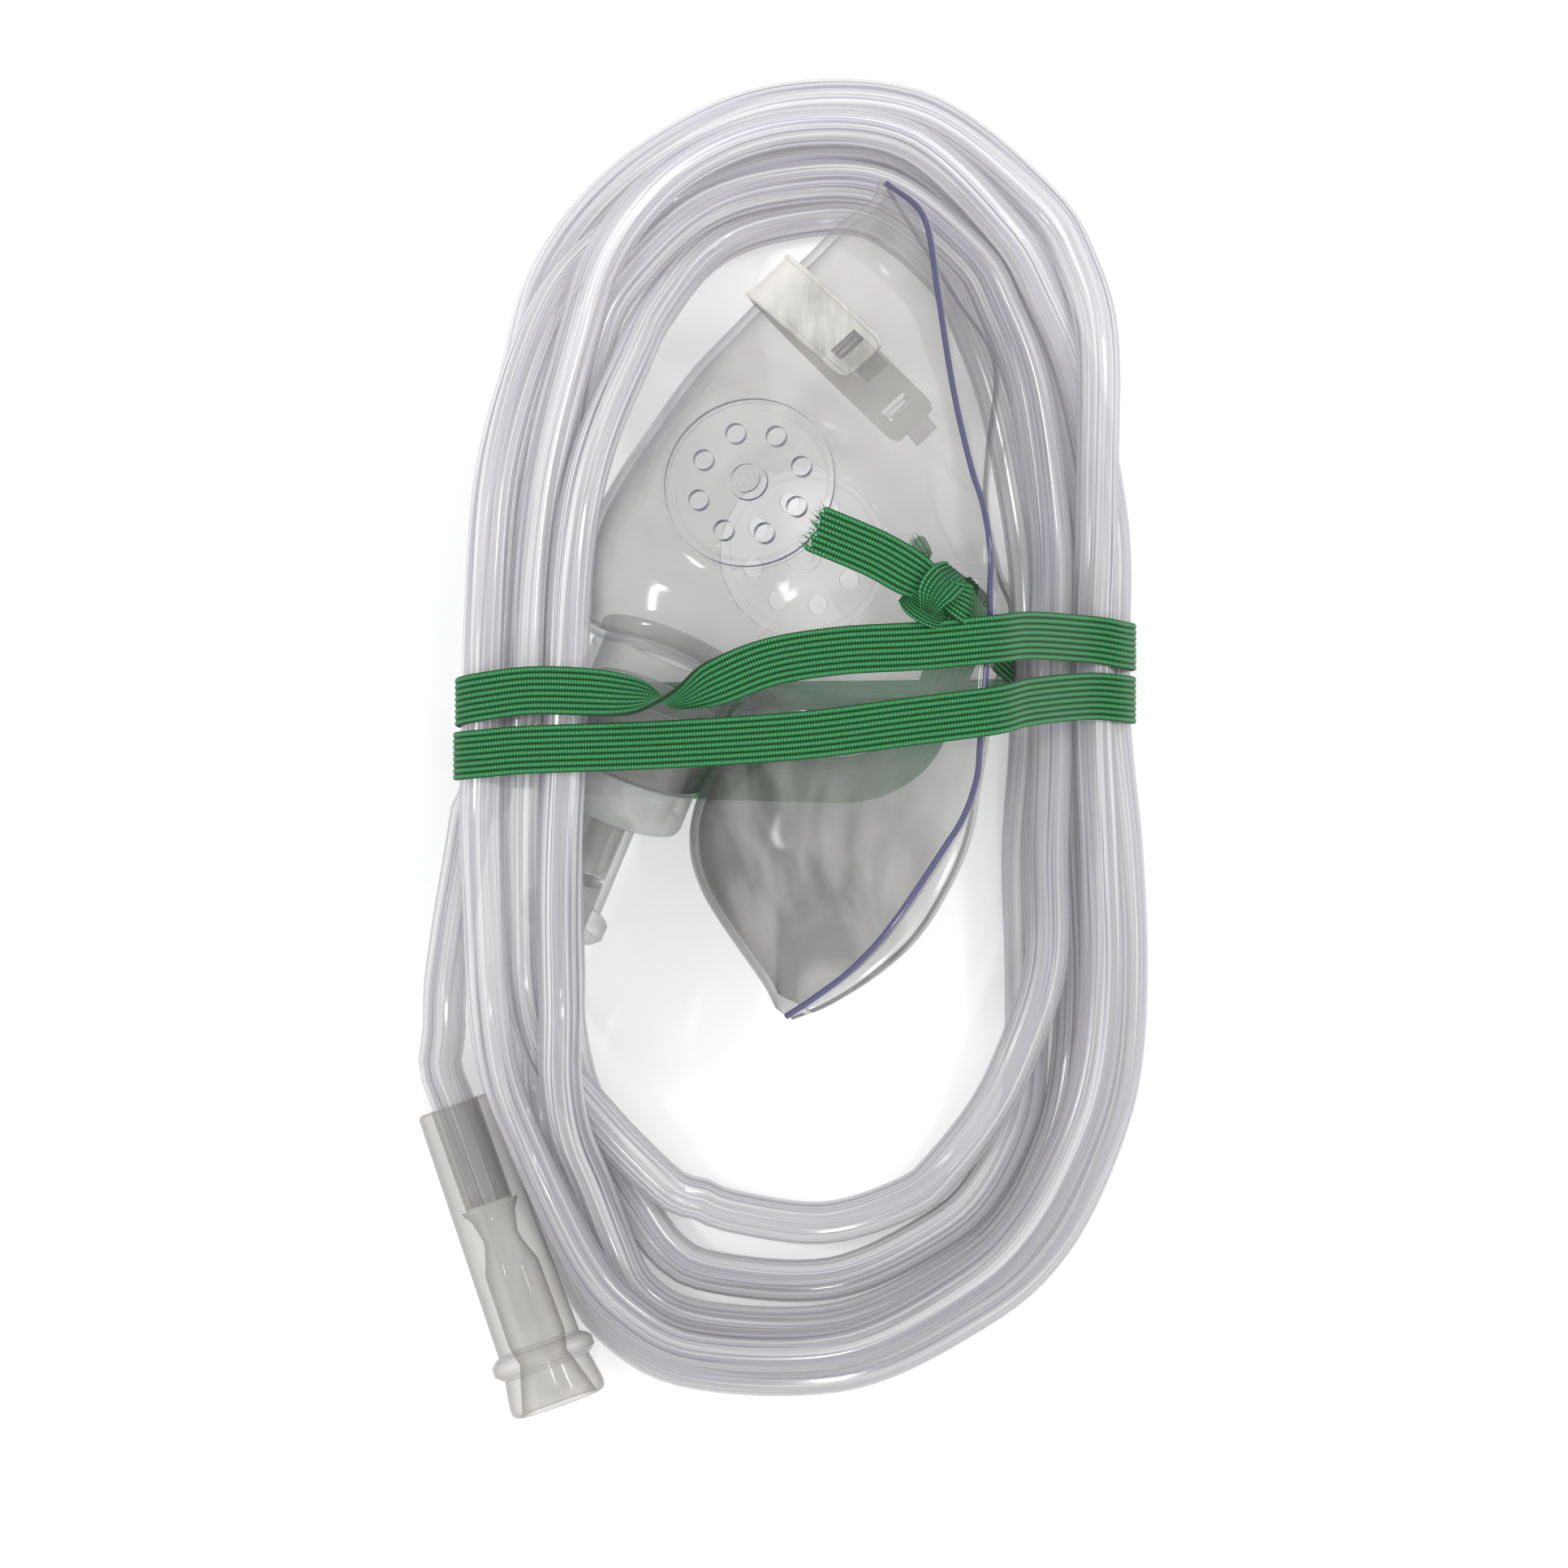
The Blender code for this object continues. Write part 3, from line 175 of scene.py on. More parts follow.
stations = np.array(COIL_STATIONS) / TENTHS
station_count = len(stations)
turn_count = len(TURN_PLACES)
keys = np.array([key for turn in range(turn_count) for key in place_keys(turn)])
radius = TUBE_WALL_ACROSS / 2
strand = []
for step in range((turn_count - 1) * station_count + TURN_LAST_STATION + 1):
    here = stations[step % station_count]
    ahead = stations[(step + 1) % station_count][:3] - stations[step % station_count - 1][:3]
    flat = np.array((ahead[0], ahead[1], 0.0)) / math.hypot(ahead[0], ahead[1])
    out = np.array((flat[1], -flat[0], 0.0))
    up = np.cross(out, ahead / np.linalg.norm(ahead))
    across = np.interp(step, keys[:, 0], keys[:, 1]) * (here[3] - radius)
    rise = np.interp(step, keys[:, 0], keys[:, 2]) * (here[4] - radius)
    strand.append(here[:3] + out * across + up * rise)
sleeve_depths = (-DEPTH_IN_SLEEVE, -DEPTH_IN_SLEEVE / 2, 0.0, STRAIGHT_EXIT)
sleeve_in = [SLEEVE_END + SLEEVE_HEADING * t for t in sleeve_depths]
supply_depths = (-STRAIGHT_EXIT, 0.0, MIDDLE_IN_SUPPLY, DEPTH_IN_SUPPLY)
supply_in = [SUPPLY_TOP + SUPPLY_HEADING * t for t in supply_depths]
lead, tail = np.array(LEAD_ROUTE) / TENTHS, np.array(TAIL_ROUTE) / TENTHS
control = [tuple(p) for p in (*sleeve_in, *lead, *strand, *tail, *supply_in)]
route = even_steps(smooth_rows(control, ROUTE_SMOOTHING), ROUTE_STEP)
# How the strands are laid apart: the points at each end that stay, and over how many the freedom
# grows; how often neighbours are looked for, how near, how many points further on, and within what
# part of a step they push; the gap kept to other parts and to the floor; then how much of each push
# is taken up in a round
FIXED_POINTS, FREE_FADE = 6, 8.0
LOOK_ROUNDS, LOOK_REACH, LOOK_AHEAD, LOOK_BESIDE = 12, 1.7, 14, 0.8
PART_GAP, FLOOR_GAP = 0.0002, 0.0001
STRAND_SHARE, PART_SHARE, PUSH_LIMIT, SHIFT_KEPT = 0.25, 0.06, 0.0006, 0.999


def hull_tree(name):
    """The faces of a CAD part, to keep the tubing off it."""
    mesh = nodes[name].data
    return BVHTree.FromPolygons([v.co for v in mesh.vertices], [tuple(p.vertices) for p in mesh.polygons])


def push_off(parts, here, free, spacing):
    """How far each point of a line has to move to come off the parts round it."""
    pushes = np.zeros_like(here)
    for i in np.nonzero(free[:, 0] > 0)[0]:
        place = Vector(here[i])
        for part in parts:
            spot, normal, _, far = part.find_nearest(place, spacing / 2 + 2 * PART_GAP)
            if spot is not None and far < spacing / 2 + PART_GAP:
                away = place - spot
                inside = away.dot(normal) < 0
                want = spacing / 2 + PART_GAP + (far if inside else -far)
                pushes[i] += np.array((normal if inside else away.normalized()) * want)
    return pushes


def settle(line, spacing):
    """Moves the strands of a route apart until they lie beside each other and off the parts round them."""
    parts = [hull_tree(n) for n in ("mask_shell", "port_adapter", "head_strap", "mask_tube_connector")]
    shift = np.zeros_like(line)
    index = np.arange(len(line))
    inward = np.minimum(index - FIXED_POINTS, len(line) - 1 - FIXED_POINTS - index)
    free = np.clip(inward / FREE_FADE, 0.0, 1.0)[:, None]
    for turn in range(RELAX_ROUNDS):
        here = line + shift
        if turn % LOOK_ROUNDS == 0:
            gaps = np.linalg.norm(here[:, None, :] - here[None, :, :], axis=2)
            near = (gaps < spacing * LOOK_REACH) & (index[None, :] - index[:, None] > LOOK_AHEAD)
            i, j = np.nonzero(near)
            part_pushes = push_off(parts, here, free, spacing)
        heading = headings(here)
        between = here[j] - here[i]
        between -= heading[i] * np.sum(between * heading[i], axis=1)[:, None]
        apart = np.maximum(np.linalg.norm(between, axis=1), 1e-6)
        along = np.abs(np.sum((here[j] - here[i]) * heading[i], axis=1))
        want = np.where(along < ROUTE_STEP * LOOK_BESIDE, np.maximum(0.0, spacing - apart), 0.0)
        push = between / apart[:, None] * (want * STRAND_SHARE)[:, None]
        move = np.zeros_like(line)
        np.add.at(move, j, push)
        np.add.at(move, i, -push)
        shift += np.clip(move, -PUSH_LIMIT, PUSH_LIMIT) * free
        shift += part_pushes * PART_SHARE * free
        smooth = shift.copy()
        smooth[1:-1] = (shift[:-2] + 2 * shift[1:-1] + shift[2:]) / 4
        shift = smooth * free * SHIFT_KEPT
        low = line[:, 2] + shift[:, 2] - spacing / 2 - FLOOR_GAP
        shift[:, 2] -= np.minimum(low, 0.0) * free[:, 0]
    return line + shift


route = settle(route, TUBE_WALL_ACROSS)


def sweep(name, line, section_at, sides):
    """A closed tube along a line with a section given by place and angle, and UVs along and round it."""
    heading = headings(line)
    side = np.cross(heading[0], (0.0, 0.0, 1.0))
    side /= np.linalg.norm(side)
    lengths = path_lengths(line)
    mesh = bmesh.new()
    rings = []
    for i in range(len(line)):
        side = side - heading[i] * side.dot(heading[i])
        side /= np.linalg.norm(side)
        up = np.cross(side, heading[i])
        sections_here = [section_at(lengths[i], 2 * math.pi * k / sides) for k in range(sides)]
        rings.append([mesh.verts.new(line[i] + side * across + up * rise) for across, rise in sections_here])
    uv = mesh.loops.layers.uv.new("UVMap")
    for i in range(len(line) - 1):
        for k in range(sides):
            n = (k + 1) % sides
            face = mesh.faces.new((rings[i][k], rings[i + 1][k], rings[i + 1][n], rings[i][n]))
            corners = ((i, k), (i + 1, k), (i + 1, k + 1), (i, k + 1))
            for loop, (row, column) in zip(face.loops, corners):
                loop[uv].uv = (lengths[row], column / sides)
            face.smooth = True
    mesh.faces.new(rings[0])
    mesh.faces.new(rings[-1][::-1])
    bmesh.ops.recalc_face_normals(mesh, faces=mesh.faces)
    data = bpy.data.meshes.new(name)
    mesh.to_mesh(data)
    mesh.free()
    return placed(name, data)


# The wound tube is a little oval here and there: how much, how often along it and from where
OVAL_WAVES = ((0.04, 31.0, 0.0), (0.03, 13.0, 1.0))


def tube_section(place, turn):
    """The tube's outer section, pressed a little oval here and there where it was wound."""
    oval = sum(size * math.sin(place * rate + start) for size, rate, start in OVAL_WAVES)
    return radius * (1 + oval) * math.cos(turn), radius * (1 - oval) * math.sin(turn)


tubing = sweep("tubing", route, tube_section, TUBE_SIDES)

TUBE_LINE = (0.27, 0.26, 0.29)
TUBE_GREY = (0.54, 0.53, 0.56)
TUBE_LILAC = (0.60, 0.58, 0.68)
TUBE_PALE = (0.80, 0.79, 0.81)
# The white of the painted highlight lines along the tube
TUBE_PAINTED_HIGHLIGHT = (0.90, 0.90, 0.91)
TUBE_STREAKS = (
    (0.30, TUBE_PALE),
    (0.37, TUBE_LINE),
    (0.42, TUBE_LILAC),
    (0.47, TUBE_PALE),
    (0.50, TUBE_GREY),
    (0.54, TUBE_PALE),
    (0.60, TUBE_PAINTED_HIGHLIGHT),
    (0.64, TUBE_LILAC),
    (0.70, TUBE_LINE),
    (0.76, TUBE_PAINTED_HIGHLIGHT),
)
TUBE_OPACITY = (
    (0.30, 0.46), (0.37, 0.78), (0.46, 0.50), (0.54, 0.54), (0.60, 0.85), (0.66, 0.56), (0.76, 0.80),
)
STREAKS_ROUND = 2.3
STREAKS_ALONG = 5.0
# The tubing is darker towards the bottom of the coil, away from the lamps: Y, then brightness
SHADE_FROM, SHADE_TO = (-0.110, 0.070), (0.74, 1.10)


def feed(made, *inputs, **named):
    """Feeds a node's inputs, in order and by name, each from a socket or with a plain value."""
    pairs = list(zip(made.inputs, inputs))
    pairs += [(made.inputs[key.replace("_", " ")], value) for key, value in named.items()]
    for target, value in pairs:
        if isinstance(value, bpy.types.NodeSocket):
            made.id_data.links.new(value, target)
        else:
            target.default_value = value
    return made


def node(tree, kind, *inputs, **named):
    """Adds one node, sets its properties and feeds its inputs."""
    made = tree.nodes.new(kind)
    made.location = (200 * len(tree.nodes), 0)
    for key in [key for key in named if hasattr(made, key)]:
        setattr(made, key, named.pop(key))
    return feed(made, *inputs, **named)


def new_material(name, **values):
    """A new material, its node tree and its shader, with some of the shader's inputs set."""
    made = bpy.data.materials.new(name)
    made.use_nodes = True
    return made, made.node_tree, feed(made.node_tree.nodes["Principled BSDF"], **values)


def object_place(tree):
    """The place on the piece in Object coordinates."""
    return node(tree, "ShaderNodeTexCoord").outputs["Object"]


def uv_parts(tree):
    """The piece's own UV coordinates, as X along it and Y round or across it."""
    uv_map = node(tree, "ShaderNodeUVMap", uv_map="UVMap")
    return node(tree, "ShaderNodeSeparateXYZ", uv_map.outputs["UV"]).outputs


def calc(tree, operation, *inputs):
    """The result of one Math node."""
    return node(tree, "ShaderNodeMath", *inputs, operation=operation).outputs["Value"]


def mapped(tree, value, span, to_span):
    """A value's share of one span, as the same share of another."""
    return node(tree, "ShaderNodeMapRange", value, *span, *to_span).outputs["Result"]


def stretched(tree, place, **values):
    """A place turned and scaled, to draw a pattern out one way."""
    return node(tree, "ShaderNodeMapping", Vector=place, **values).outputs["Vector"]


def noise(tree, place, **values):
    """The value of a noise texture at a place."""
    return node(tree, "ShaderNodeTexNoise", Vector=place, **values).outputs["Fac"]


def ramp(tree, value, stops):
    """The colour that a ramp with the given stops of place and colour has for a value."""
    made = node(tree, "ShaderNodeValToRGB", value)
    band = made.color_ramp
    while len(band.elements) < len(stops):
        band.elements.new(0.5)
    for element, (where, colour) in zip(band.elements, stops):
        element.position = where
        element.color = (*colour, 1.0)
    return made.outputs["Color"]


def mixed(tree, share, under, colour):
    """A colour mixed by a share over the one under it."""
    mix = node(tree, "ShaderNodeMix", data_type="RGBA", Factor=share, A=under, B=(*colour, 1.0))
    return mix.outputs["Result"]


def bumped(tree, height, strength, distance):
    """The normal of a surface that a value raises a little."""
    return node(tree, "ShaderNodeBump", Height=height, Strength=strength, Distance=distance).outputs["Normal"]


def coat(piece, material):
    """Gives a piece its one material."""
    piece.data.materials.clear()
    piece.data.materials.append(material)


# The star-shaped lumen shows through the wall as fine lines along the tube, and the white lines among them
# are painted highlights
tube_vinyl, tree, shader = new_material("tube_vinyl", Roughness=0.14, IOR=1.5, Specular_IOR_Level=0.9)
way = uv_parts(tree)
turn = calc(tree, "MULTIPLY", way["Y"], 2 * math.pi)
trip = node(tree, "ShaderNodeCombineXYZ", calc(tree, "COSINE", turn), calc(tree, "SINE", turn), way["X"])
streaks_place = stretched(tree, trip.outputs["Vector"], Scale=(STREAKS_ROUND, STREAKS_ROUND, STREAKS_ALONG))
streaks = noise(tree, streaks_place, Scale=1.0, Detail=2.0, Roughness=0.65)
tube_place = node(tree, "ShaderNodeSeparateXYZ", object_place(tree))
shade = mapped(tree, tube_place.outputs["Y"], SHADE_FROM, SHADE_TO)
shaded = node(tree, "ShaderNodeVectorMath", ramp(tree, streaks, TUBE_STREAKS), operation="SCALE", Scale=shade)
opacity = ramp(tree, streaks, [(where, (level, level, level)) for where, level in TUBE_OPACITY])
feed(shader, Base_Color=shaded.outputs["Vector"], Alpha=opacity, Normal=bumped(tree, streaks, 0.35, 0.0004))
coat(tubing, tube_vinyl)
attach(tubing, "root")
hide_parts("tubing_lead", "tubing_coil", "tubing_tail")


# Mask. One clear soft PVC moulding, dip-thin at the cheeks with a turned-out lip all round the face
# side, a moulded port below the cheeks and a pierced vent plate in each cheek.
MASK_HEIGHT = 0.1249
MASK_DEPTH = 0.0565
MASK_HALF_WIDTH = 0.0195
MASK_MID_HEIGHT = 0.0240
SHELL_WALL = 0.0013
RIM_LIP = 0.0026
RIM_FLARE = 0.0009
# Sections from nose to chin, in thousandths: ridge, near rim and far rim as shares of the height and
# depth, then the half width as a share of its greatest, then how square the section is
MASK_SECTIONS = (
    (5, 3, 6, -10, 10, -15, 82, 2000), (42, 12, 40, -101, 114, -193, 231, 2000),
    (65, 81, 126, -156, 185, -315, 410, 2000), (108, 168, 238, -226, 290, -331, 590, 2000),
    (140, 239, 322, -291, 345, -342, 718, 2000), (194, 331, 354, -317, 385, -362, 846, 2000),
    (256, 432, 380, -333, 415, -381, 933, 2100), (328, 520, 408, -347, 440, -395, 985, 2200),
    (389, 589, 439, -359, 462, -419, 1000, 2400), (445, 634, 468, -365, 480, -437, 974, 2600),
    (499, 645, 494, -372, 500, -436, 933, 2800), (545, 633, 522, -377, 522, -434, 913, 3000),
    (577, 599, 546, -379, 546, -431, 903, 3200), (626, 219, 617, -385, 620, -412, 892, 3000),
    (655, 225, 650, -387, 655, -406, 872, 2800), (715, 258, 692, -390, 701, -401, 846, 2500),
    (770, 286, 739, -369, 744, -398, 795, 2300), (816, 282, 777, -332, 787, -381, 733, 2200),
    (859, 241, 828, -277, 830, -348, 646, 2100), (896, 180, 878, -218, 884, -288, 533, 2000),
    (934, 105, 931, -142, 937, -195, 379, 2000), (964, 46, 971, -63, 975, -102, 215, 2000),
    (987, 12, 994, -13, 996, -27, 92, 2000),
)
SECTION_SMOOTHING = 40
NOSE_TIP = Vector((0.0121, 0.0622, MASK_MID_HEIGHT))
CHORD_LEAN = math.radians(6.9)
CHORD = Vector((-math.sin(CHORD_LEAN), -math.cos(CHORD_LEAN), 0.0))
FORWARD = Vector((-math.cos(CHORD_LEAN), math.sin(CHORD_LEAN), 0.0))
PORT_CORNER_SECTION = 12
VENT_PLACES = {1: (7.6, math.radians(54.0)), -1: (8.5, math.radians(-65.0))}
VENT_LAND_RADIUS = 0.0132
VENT_LAND_FADE = 0.0060
LIP_SPREAD_DEGREES = 10.0
SLOPE_STATIONS = 0.15
SLOPE_ANGLE = 0.05
MERGE_DISTANCE = 0.000004
END_WALL_SHARE = 0.4
SHELL_STEPS = 6
SHELL_COLUMNS = 48
LIP_COLUMNS = 4

sections = np.array(MASK_SECTIONS) / 1000
last_station = len(sections) - 1.0
section_curves = smooth_rows(sections, SECTION_SMOOTHING)


def mask_place(u, v, lateral=0.0):
    """A point from its share of the height, its share of the depth and its height over the middle."""
    return NOSE_TIP + CHORD * (u * MASK_HEIGHT) + FORWARD * (v * MASK_DEPTH) + Vector((0, 0, lateral))


def section_frame(station):
    """The middle of the rim, the way to the ridge, the way to the near rim and the squareness."""
    place = min(max(station, 0.0), last_station) * SECTION_SMOOTHING
    low_row = int(math.floor(place))
    high_row = min(low_row + 1, len(section_curves) - 1)
    row = section_curves[low_row] * (1 - place + low_row) + section_curves[high_row] * (place - low_row)
    half = row[6] * MASK_HALF_WIDTH
    near_rim = mask_place(row[2], row[3], half)
    far_rim = mask_place(row[4], row[5], -half)
    middle = (near_rim + far_rim) / 2
    return middle, mask_place(row[0], row[1]) - middle, (near_rim - far_rim) / 2, row[7]


def cheek_point(station, angle):
    """A point of the plain cheek: angle 0 is the ridge, 90 degrees the near rim, past it the lip."""
    middle, reach, half, square = section_frame(station)
    over = max(0.0, abs(angle) - math.pi / 2) / math.radians(LIP_SPREAD_DEGREES)
    turn = max(-math.pi / 2, min(math.pi / 2, angle))
    depth = max(0.0, math.cos(turn)) ** (2.0 / square)
    across = math.copysign(abs(math.sin(turn)) ** (2.0 / square), turn)
    grow = min(1.0, half.length / (0.5 * MASK_HALF_WIDTH))
    back = reach.normalized() * (-RIM_LIP * over * grow)
    flare = half.normalized() * math.copysign(RIM_FLARE * over * over * grow, turn)
    return middle + reach * depth + half * across + back + flare


def normal_of(surface, station, angle):
    """The outward direction of a surface given as a function of station and angle."""
    low_end, high_end = max(0.0, station - SLOPE_STATIONS), min(last_station, station + SLOPE_STATIONS)
    along_ridge = surface(high_end, angle) - surface(low_end, angle)
    across = surface(station, angle + SLOPE_ANGLE) - surface(station, angle - SLOPE_ANGLE)
    return along_ridge.cross(across).normalized()


def frame_at(origin, axis, side):
    """A frame with its Z along the axis and its X as near the side as it can be."""
    z = Vector(axis).normalized()
    x = (Vector(side) - z * z.dot(Vector(side))).normalized()
    return Matrix.LocRotScale(origin, Matrix((x, z.cross(x), z)).transposed(), None)


vent_frames = {}
for side, (section, angle) in VENT_PLACES.items():
    outward = normal_of(cheek_point, section, angle)
    vent_frames[side] = frame_at(cheek_point(section, angle), outward, FORWARD)


def shell_point(station, angle):
    """A point on the outer face, the cheek with a flat land round each vent plate."""
    point = cheek_point(station, angle)
    land = vent_frames[1 if angle > 0 else -1]
    local = land.inverted() @ point
    share = max(0.0, (math.hypot(local.x, local.y) - VENT_LAND_RADIUS) / VENT_LAND_FADE)
    if share >= 1.0:
        return point
    local.z *= share * share * (3 - 2 * share)
    return land @ local


def merge_doubles(mesh):
    """Merges doubled points and closes off slivers."""
    bmesh.ops.remove_doubles(mesh, verts=mesh.verts, dist=MERGE_DISTANCE)
    bmesh.ops.dissolve_degenerate(mesh, edges=mesh.edges, dist=MERGE_DISTANCE)


def write_crisp(mesh, data, smooth_angle):
    """Writes a bmesh to mesh data, shaded smooth with its edges kept crisp past an angle."""
    mesh.to_mesh(data)
    mesh.free()
    data.shade_smooth()
    data.set_sharp_from_angle(angle=math.radians(smooth_angle))


def made_from(name, mesh, smooth_angle=40.0):
    """An object from a bmesh with its faces turned out."""
    merge_doubles(mesh)
    bmesh.ops.recalc_face_normals(mesh, faces=mesh.faces)
    data = bpy.data.meshes.new(name)
    write_crisp(mesh, data, smooth_angle)
    return placed(name, data)


def combine(target, tool, operation):
    """Adds or cuts one solid and leaves the result as the target's own mesh."""
    modifier = target.modifiers.new("combine", "BOOLEAN")
    modifier.operation = operation
    modifier.object = tool
    result = bpy.data.meshes.new_from_object(target.evaluated_get(bpy.context.evaluated_depsgraph_get()))
    target.modifiers.remove(modifier)
    target.data = result
    bpy.data.objects.remove(tool)


def revolve(name, profile, place, sides=96):
    """A solid turned round a frame's Z from a closed profile of radius and height."""
    mesh = bmesh.new()
    turns = [2 * math.pi * k / sides for k in range(sides)]
    rings = []
    for reach, height in profile:
        if reach == 0.0:
            rings.append([mesh.verts.new(place @ Vector((0, 0, height)))] * sides)
            continue
        points = [Vector((reach * math.cos(t), reach * math.sin(t), height)) for t in turns]
        rings.append([mesh.verts.new(place @ point) for point in points])
    for i, ring in enumerate(rings):
        after = rings[(i + 1) % len(rings)]
        for k in range(sides):
            n = (k + 1) % sides
            corners = list(dict.fromkeys((ring[k], ring[n], after[n], after[k])))
            if len(corners) > 2:
                mesh.faces.new(corners)
    return made_from(name, mesh)


def shell_wall(name):
    """The double-curved wall, open at the face side and closed at nose and chin."""
    last = (len(sections) - 1) * SHELL_STEPS
    lip = [math.radians(90.0 + LIP_SPREAD_DEGREES * k / LIP_COLUMNS) for k in range(LIP_COLUMNS, 0, -1)]
    half = lip + [math.pi / 2 * (1 - 2 * k / SHELL_COLUMNS) for k in range(SHELL_COLUMNS // 2)]
    angles = [-a for a in half] + [0.0] + half[::-1]
    columns = len(angles)
    points = np.array([[shell_point(i / SHELL_STEPS, a) for a in angles] for i in range(last + 1)])
    normals = np.cross(np.gradient(points, axis=0), np.gradient(points, axis=1))
    normals /= np.maximum(np.linalg.norm(normals, axis=2), 1e-12)[:, :, None]
    mesh = bmesh.new()
    outer, inner = [], []
    for i in range(last + 1):
        _, reach, width, _ = section_frame(i / SHELL_STEPS)
        wall = min(SHELL_WALL, END_WALL_SHARE * width.length, END_WALL_SHARE * reach.length)
        outer.append([mesh.verts.new(p) for p in points[i]])
        inner.append([mesh.verts.new(p - n * wall) for p, n in zip(points[i], normals[i])])
    first, final = SHELL_STEPS // 2, last - SHELL_STEPS // 2
    for i in range(last):
        for j in range(columns - 1):
            mesh.faces.new((outer[i][j], outer[i][j + 1], outer[i + 1][j + 1], outer[i + 1][j]))
            if first <= i < final:
                mesh.faces.new((inner[i][j], inner[i + 1][j], inner[i + 1][j + 1], inner[i][j + 1]))
    for i in range(first, final):
        for j in (0, columns - 1):
            mesh.faces.new((outer[i][j], outer[i + 1][j], inner[i + 1][j], inner[i][j]))
    for end, start in ((0, first), (last, final)):
        step = 1 if end == 0 else -1
        rim_one = [outer[i][0] for i in range(end, start + step, step)]
        rim_two = [outer[i][columns - 1] for i in range(end, start + step, step)]
        mesh.faces.new(outer[end])
        mesh.faces.new(inner[start])
        mesh.faces.new([*rim_one, inner[start][0], inner[start][-1], *rim_two[::-1]])
    loose = [v for v in mesh.verts if not v.link_faces]
    bmesh.ops.delete(mesh, geom=loose, context="VERTS")
    return made_from(name, mesh, 50.0)


mask = shell_wall("mask")


def cut_round(target, place, profile, operation, sides=96):
    """Joins or cuts a turned solid."""
    combine(target, revolve("tool", profile, place, sides), operation)


# The port: a short tube on the step under the vents
PORT_DIAMETER = 0.0236
PORT_WALL = 0.0015
PORT_LENGTH = 0.0156
PORT_TILT = math.radians(14.0)
PORT_ROOT = -0.0030
PORT_LIP = 0.0004
port_corner = mask_place(sections[PORT_CORNER_SECTION][0], sections[PORT_CORNER_SECTION][1])
step_foot = mask_place(sections[PORT_CORNER_SECTION + 1][0], sections[PORT_CORNER_SECTION + 1][1])
step_face = (step_foot - port_corner).normalized()
port_axis = Vector((step_face.y, -step_face.x, 0.0))
port_axis = -port_axis if port_axis.y > 0 else port_axis
port_axis = port_axis * math.cos(PORT_TILT) + Vector((0, 0, -math.sin(PORT_TILT)))
port = frame_at(port_corner + step_face * (PORT_DIAMETER / 2), port_axis, Vector((0, 0, 1)))
port_radius = PORT_DIAMETER / 2
port_outer = (
    (0.0, PORT_ROOT),
    (port_radius - PORT_LIP, PORT_ROOT),
    (port_radius - PORT_LIP, 0.0),
    (port_radius, PORT_LIP),
    (port_radius, PORT_LENGTH - PORT_LIP),
    (port_radius - PORT_LIP, PORT_LENGTH),
    (0.0, PORT_LENGTH),
)
port_bore = port_radius - PORT_WALL
bore_low = PORT_ROOT - SHELL_WALL
bore_high = PORT_LENGTH + 0.004
bore_profile = ((0.0, bore_low), (port_bore, bore_low), (port_bore, bore_high), (0.0, bore_high))

# The vent plates: a beaded ring, a pierced plate and a small dimpled boss with a spiral on it
VENT_RADIUS = 0.0126
VENT_RING_WIDTH = 0.0009
VENT_RING_HEIGHT = 0.0012
VENT_PLATE_RISE = 0.0006
VENT_PLATE_WALL = 0.0013
VENT_HOLE_DIAMETER = 0.0030
VENT_HOLE_PITCH_RADIUS = 0.0079
VENT_HOLES = 8
VENT_BOSS_RADIUS = 0.0028
VENT_BOSS_HEIGHT = 0.0007
CUT_REACH = 0.0040


def new_group(name, values):
    """A new Geometry Nodes tree with named inputs, the inputs' sockets and their identifiers."""
    tree = bpy.data.node_groups.new(name, "GeometryNodeTree")
    identifiers = {}
    for label, value in values.items():
        kind = "NodeSocketInt" if isinstance(value, int) else "NodeSocketFloat"
        socket = tree.interface.new_socket(name=label, in_out="INPUT", socket_type=kind)
        socket.default_value = value
        identifiers[label] = socket.identifier
    tree.interface.new_socket(name="Geometry", in_out="OUTPUT", socket_type="NodeSocketGeometry")
    return tree, node(tree, "NodeGroupInput").outputs, identifiers


def repeat_on(tree, points, shape, material=None, **turns):
    """Ends a Geometry Nodes tree: a shape on every point, made real and given its material."""
    repeated = node(tree, "GeometryNodeInstanceOnPoints", Points=points, Instance=shape, **turns)
    real = node(tree, "GeometryNodeRealizeInstances", Geometry=repeated.outputs["Instances"])
    finish = node(tree, "GeometryNodeSetMaterial", Geometry=real.outputs["Geometry"], Material=material)
    node(tree, "NodeGroupOutput", Geometry=finish.outputs["Geometry"])


def made_by(tree, identifiers, values, name):
    """Runs a Geometry Nodes tree on an empty mesh and keeps the result as a plain mesh object."""
    made = placed(name, bpy.data.meshes.new(name))
    modifier = made.modifiers.new("nodes", "NODES")
    modifier.node_group = tree
    for label, value in values.items():
        modifier[identifiers[label]] = value
    graph = bpy.context.evaluated_depsgraph_get()
    result = bpy.data.meshes.new_from_object(made.evaluated_get(graph))
    made.modifiers.remove(modifier)
    made.data = result
    return made


# Pins that pierce a vent plate, one ring of them
PIN_SIDES = 32
pin_values = {
    "Holes": VENT_HOLES,
    "Pitch radius": VENT_HOLE_PITCH_RADIUS,
    "Hole radius": VENT_HOLE_DIAMETER / 2,
}
pin_tree, pin_in, pin_identifiers = new_group("vent_pins", pin_values)
pin_circle = node(pin_tree, "GeometryNodeMeshCircle", Vertices=pin_in["Holes"], Radius=pin_in["Pitch radius"])
pin_sizes = {"Radius": pin_in["Hole radius"], "Depth": 2 * CUT_REACH}
pin_shape = node(pin_tree, "GeometryNodeMeshCylinder", Vertices=PIN_SIDES, **pin_sizes)
repeat_on(pin_tree, pin_circle.outputs["Mesh"], pin_shape.outputs["Mesh"])

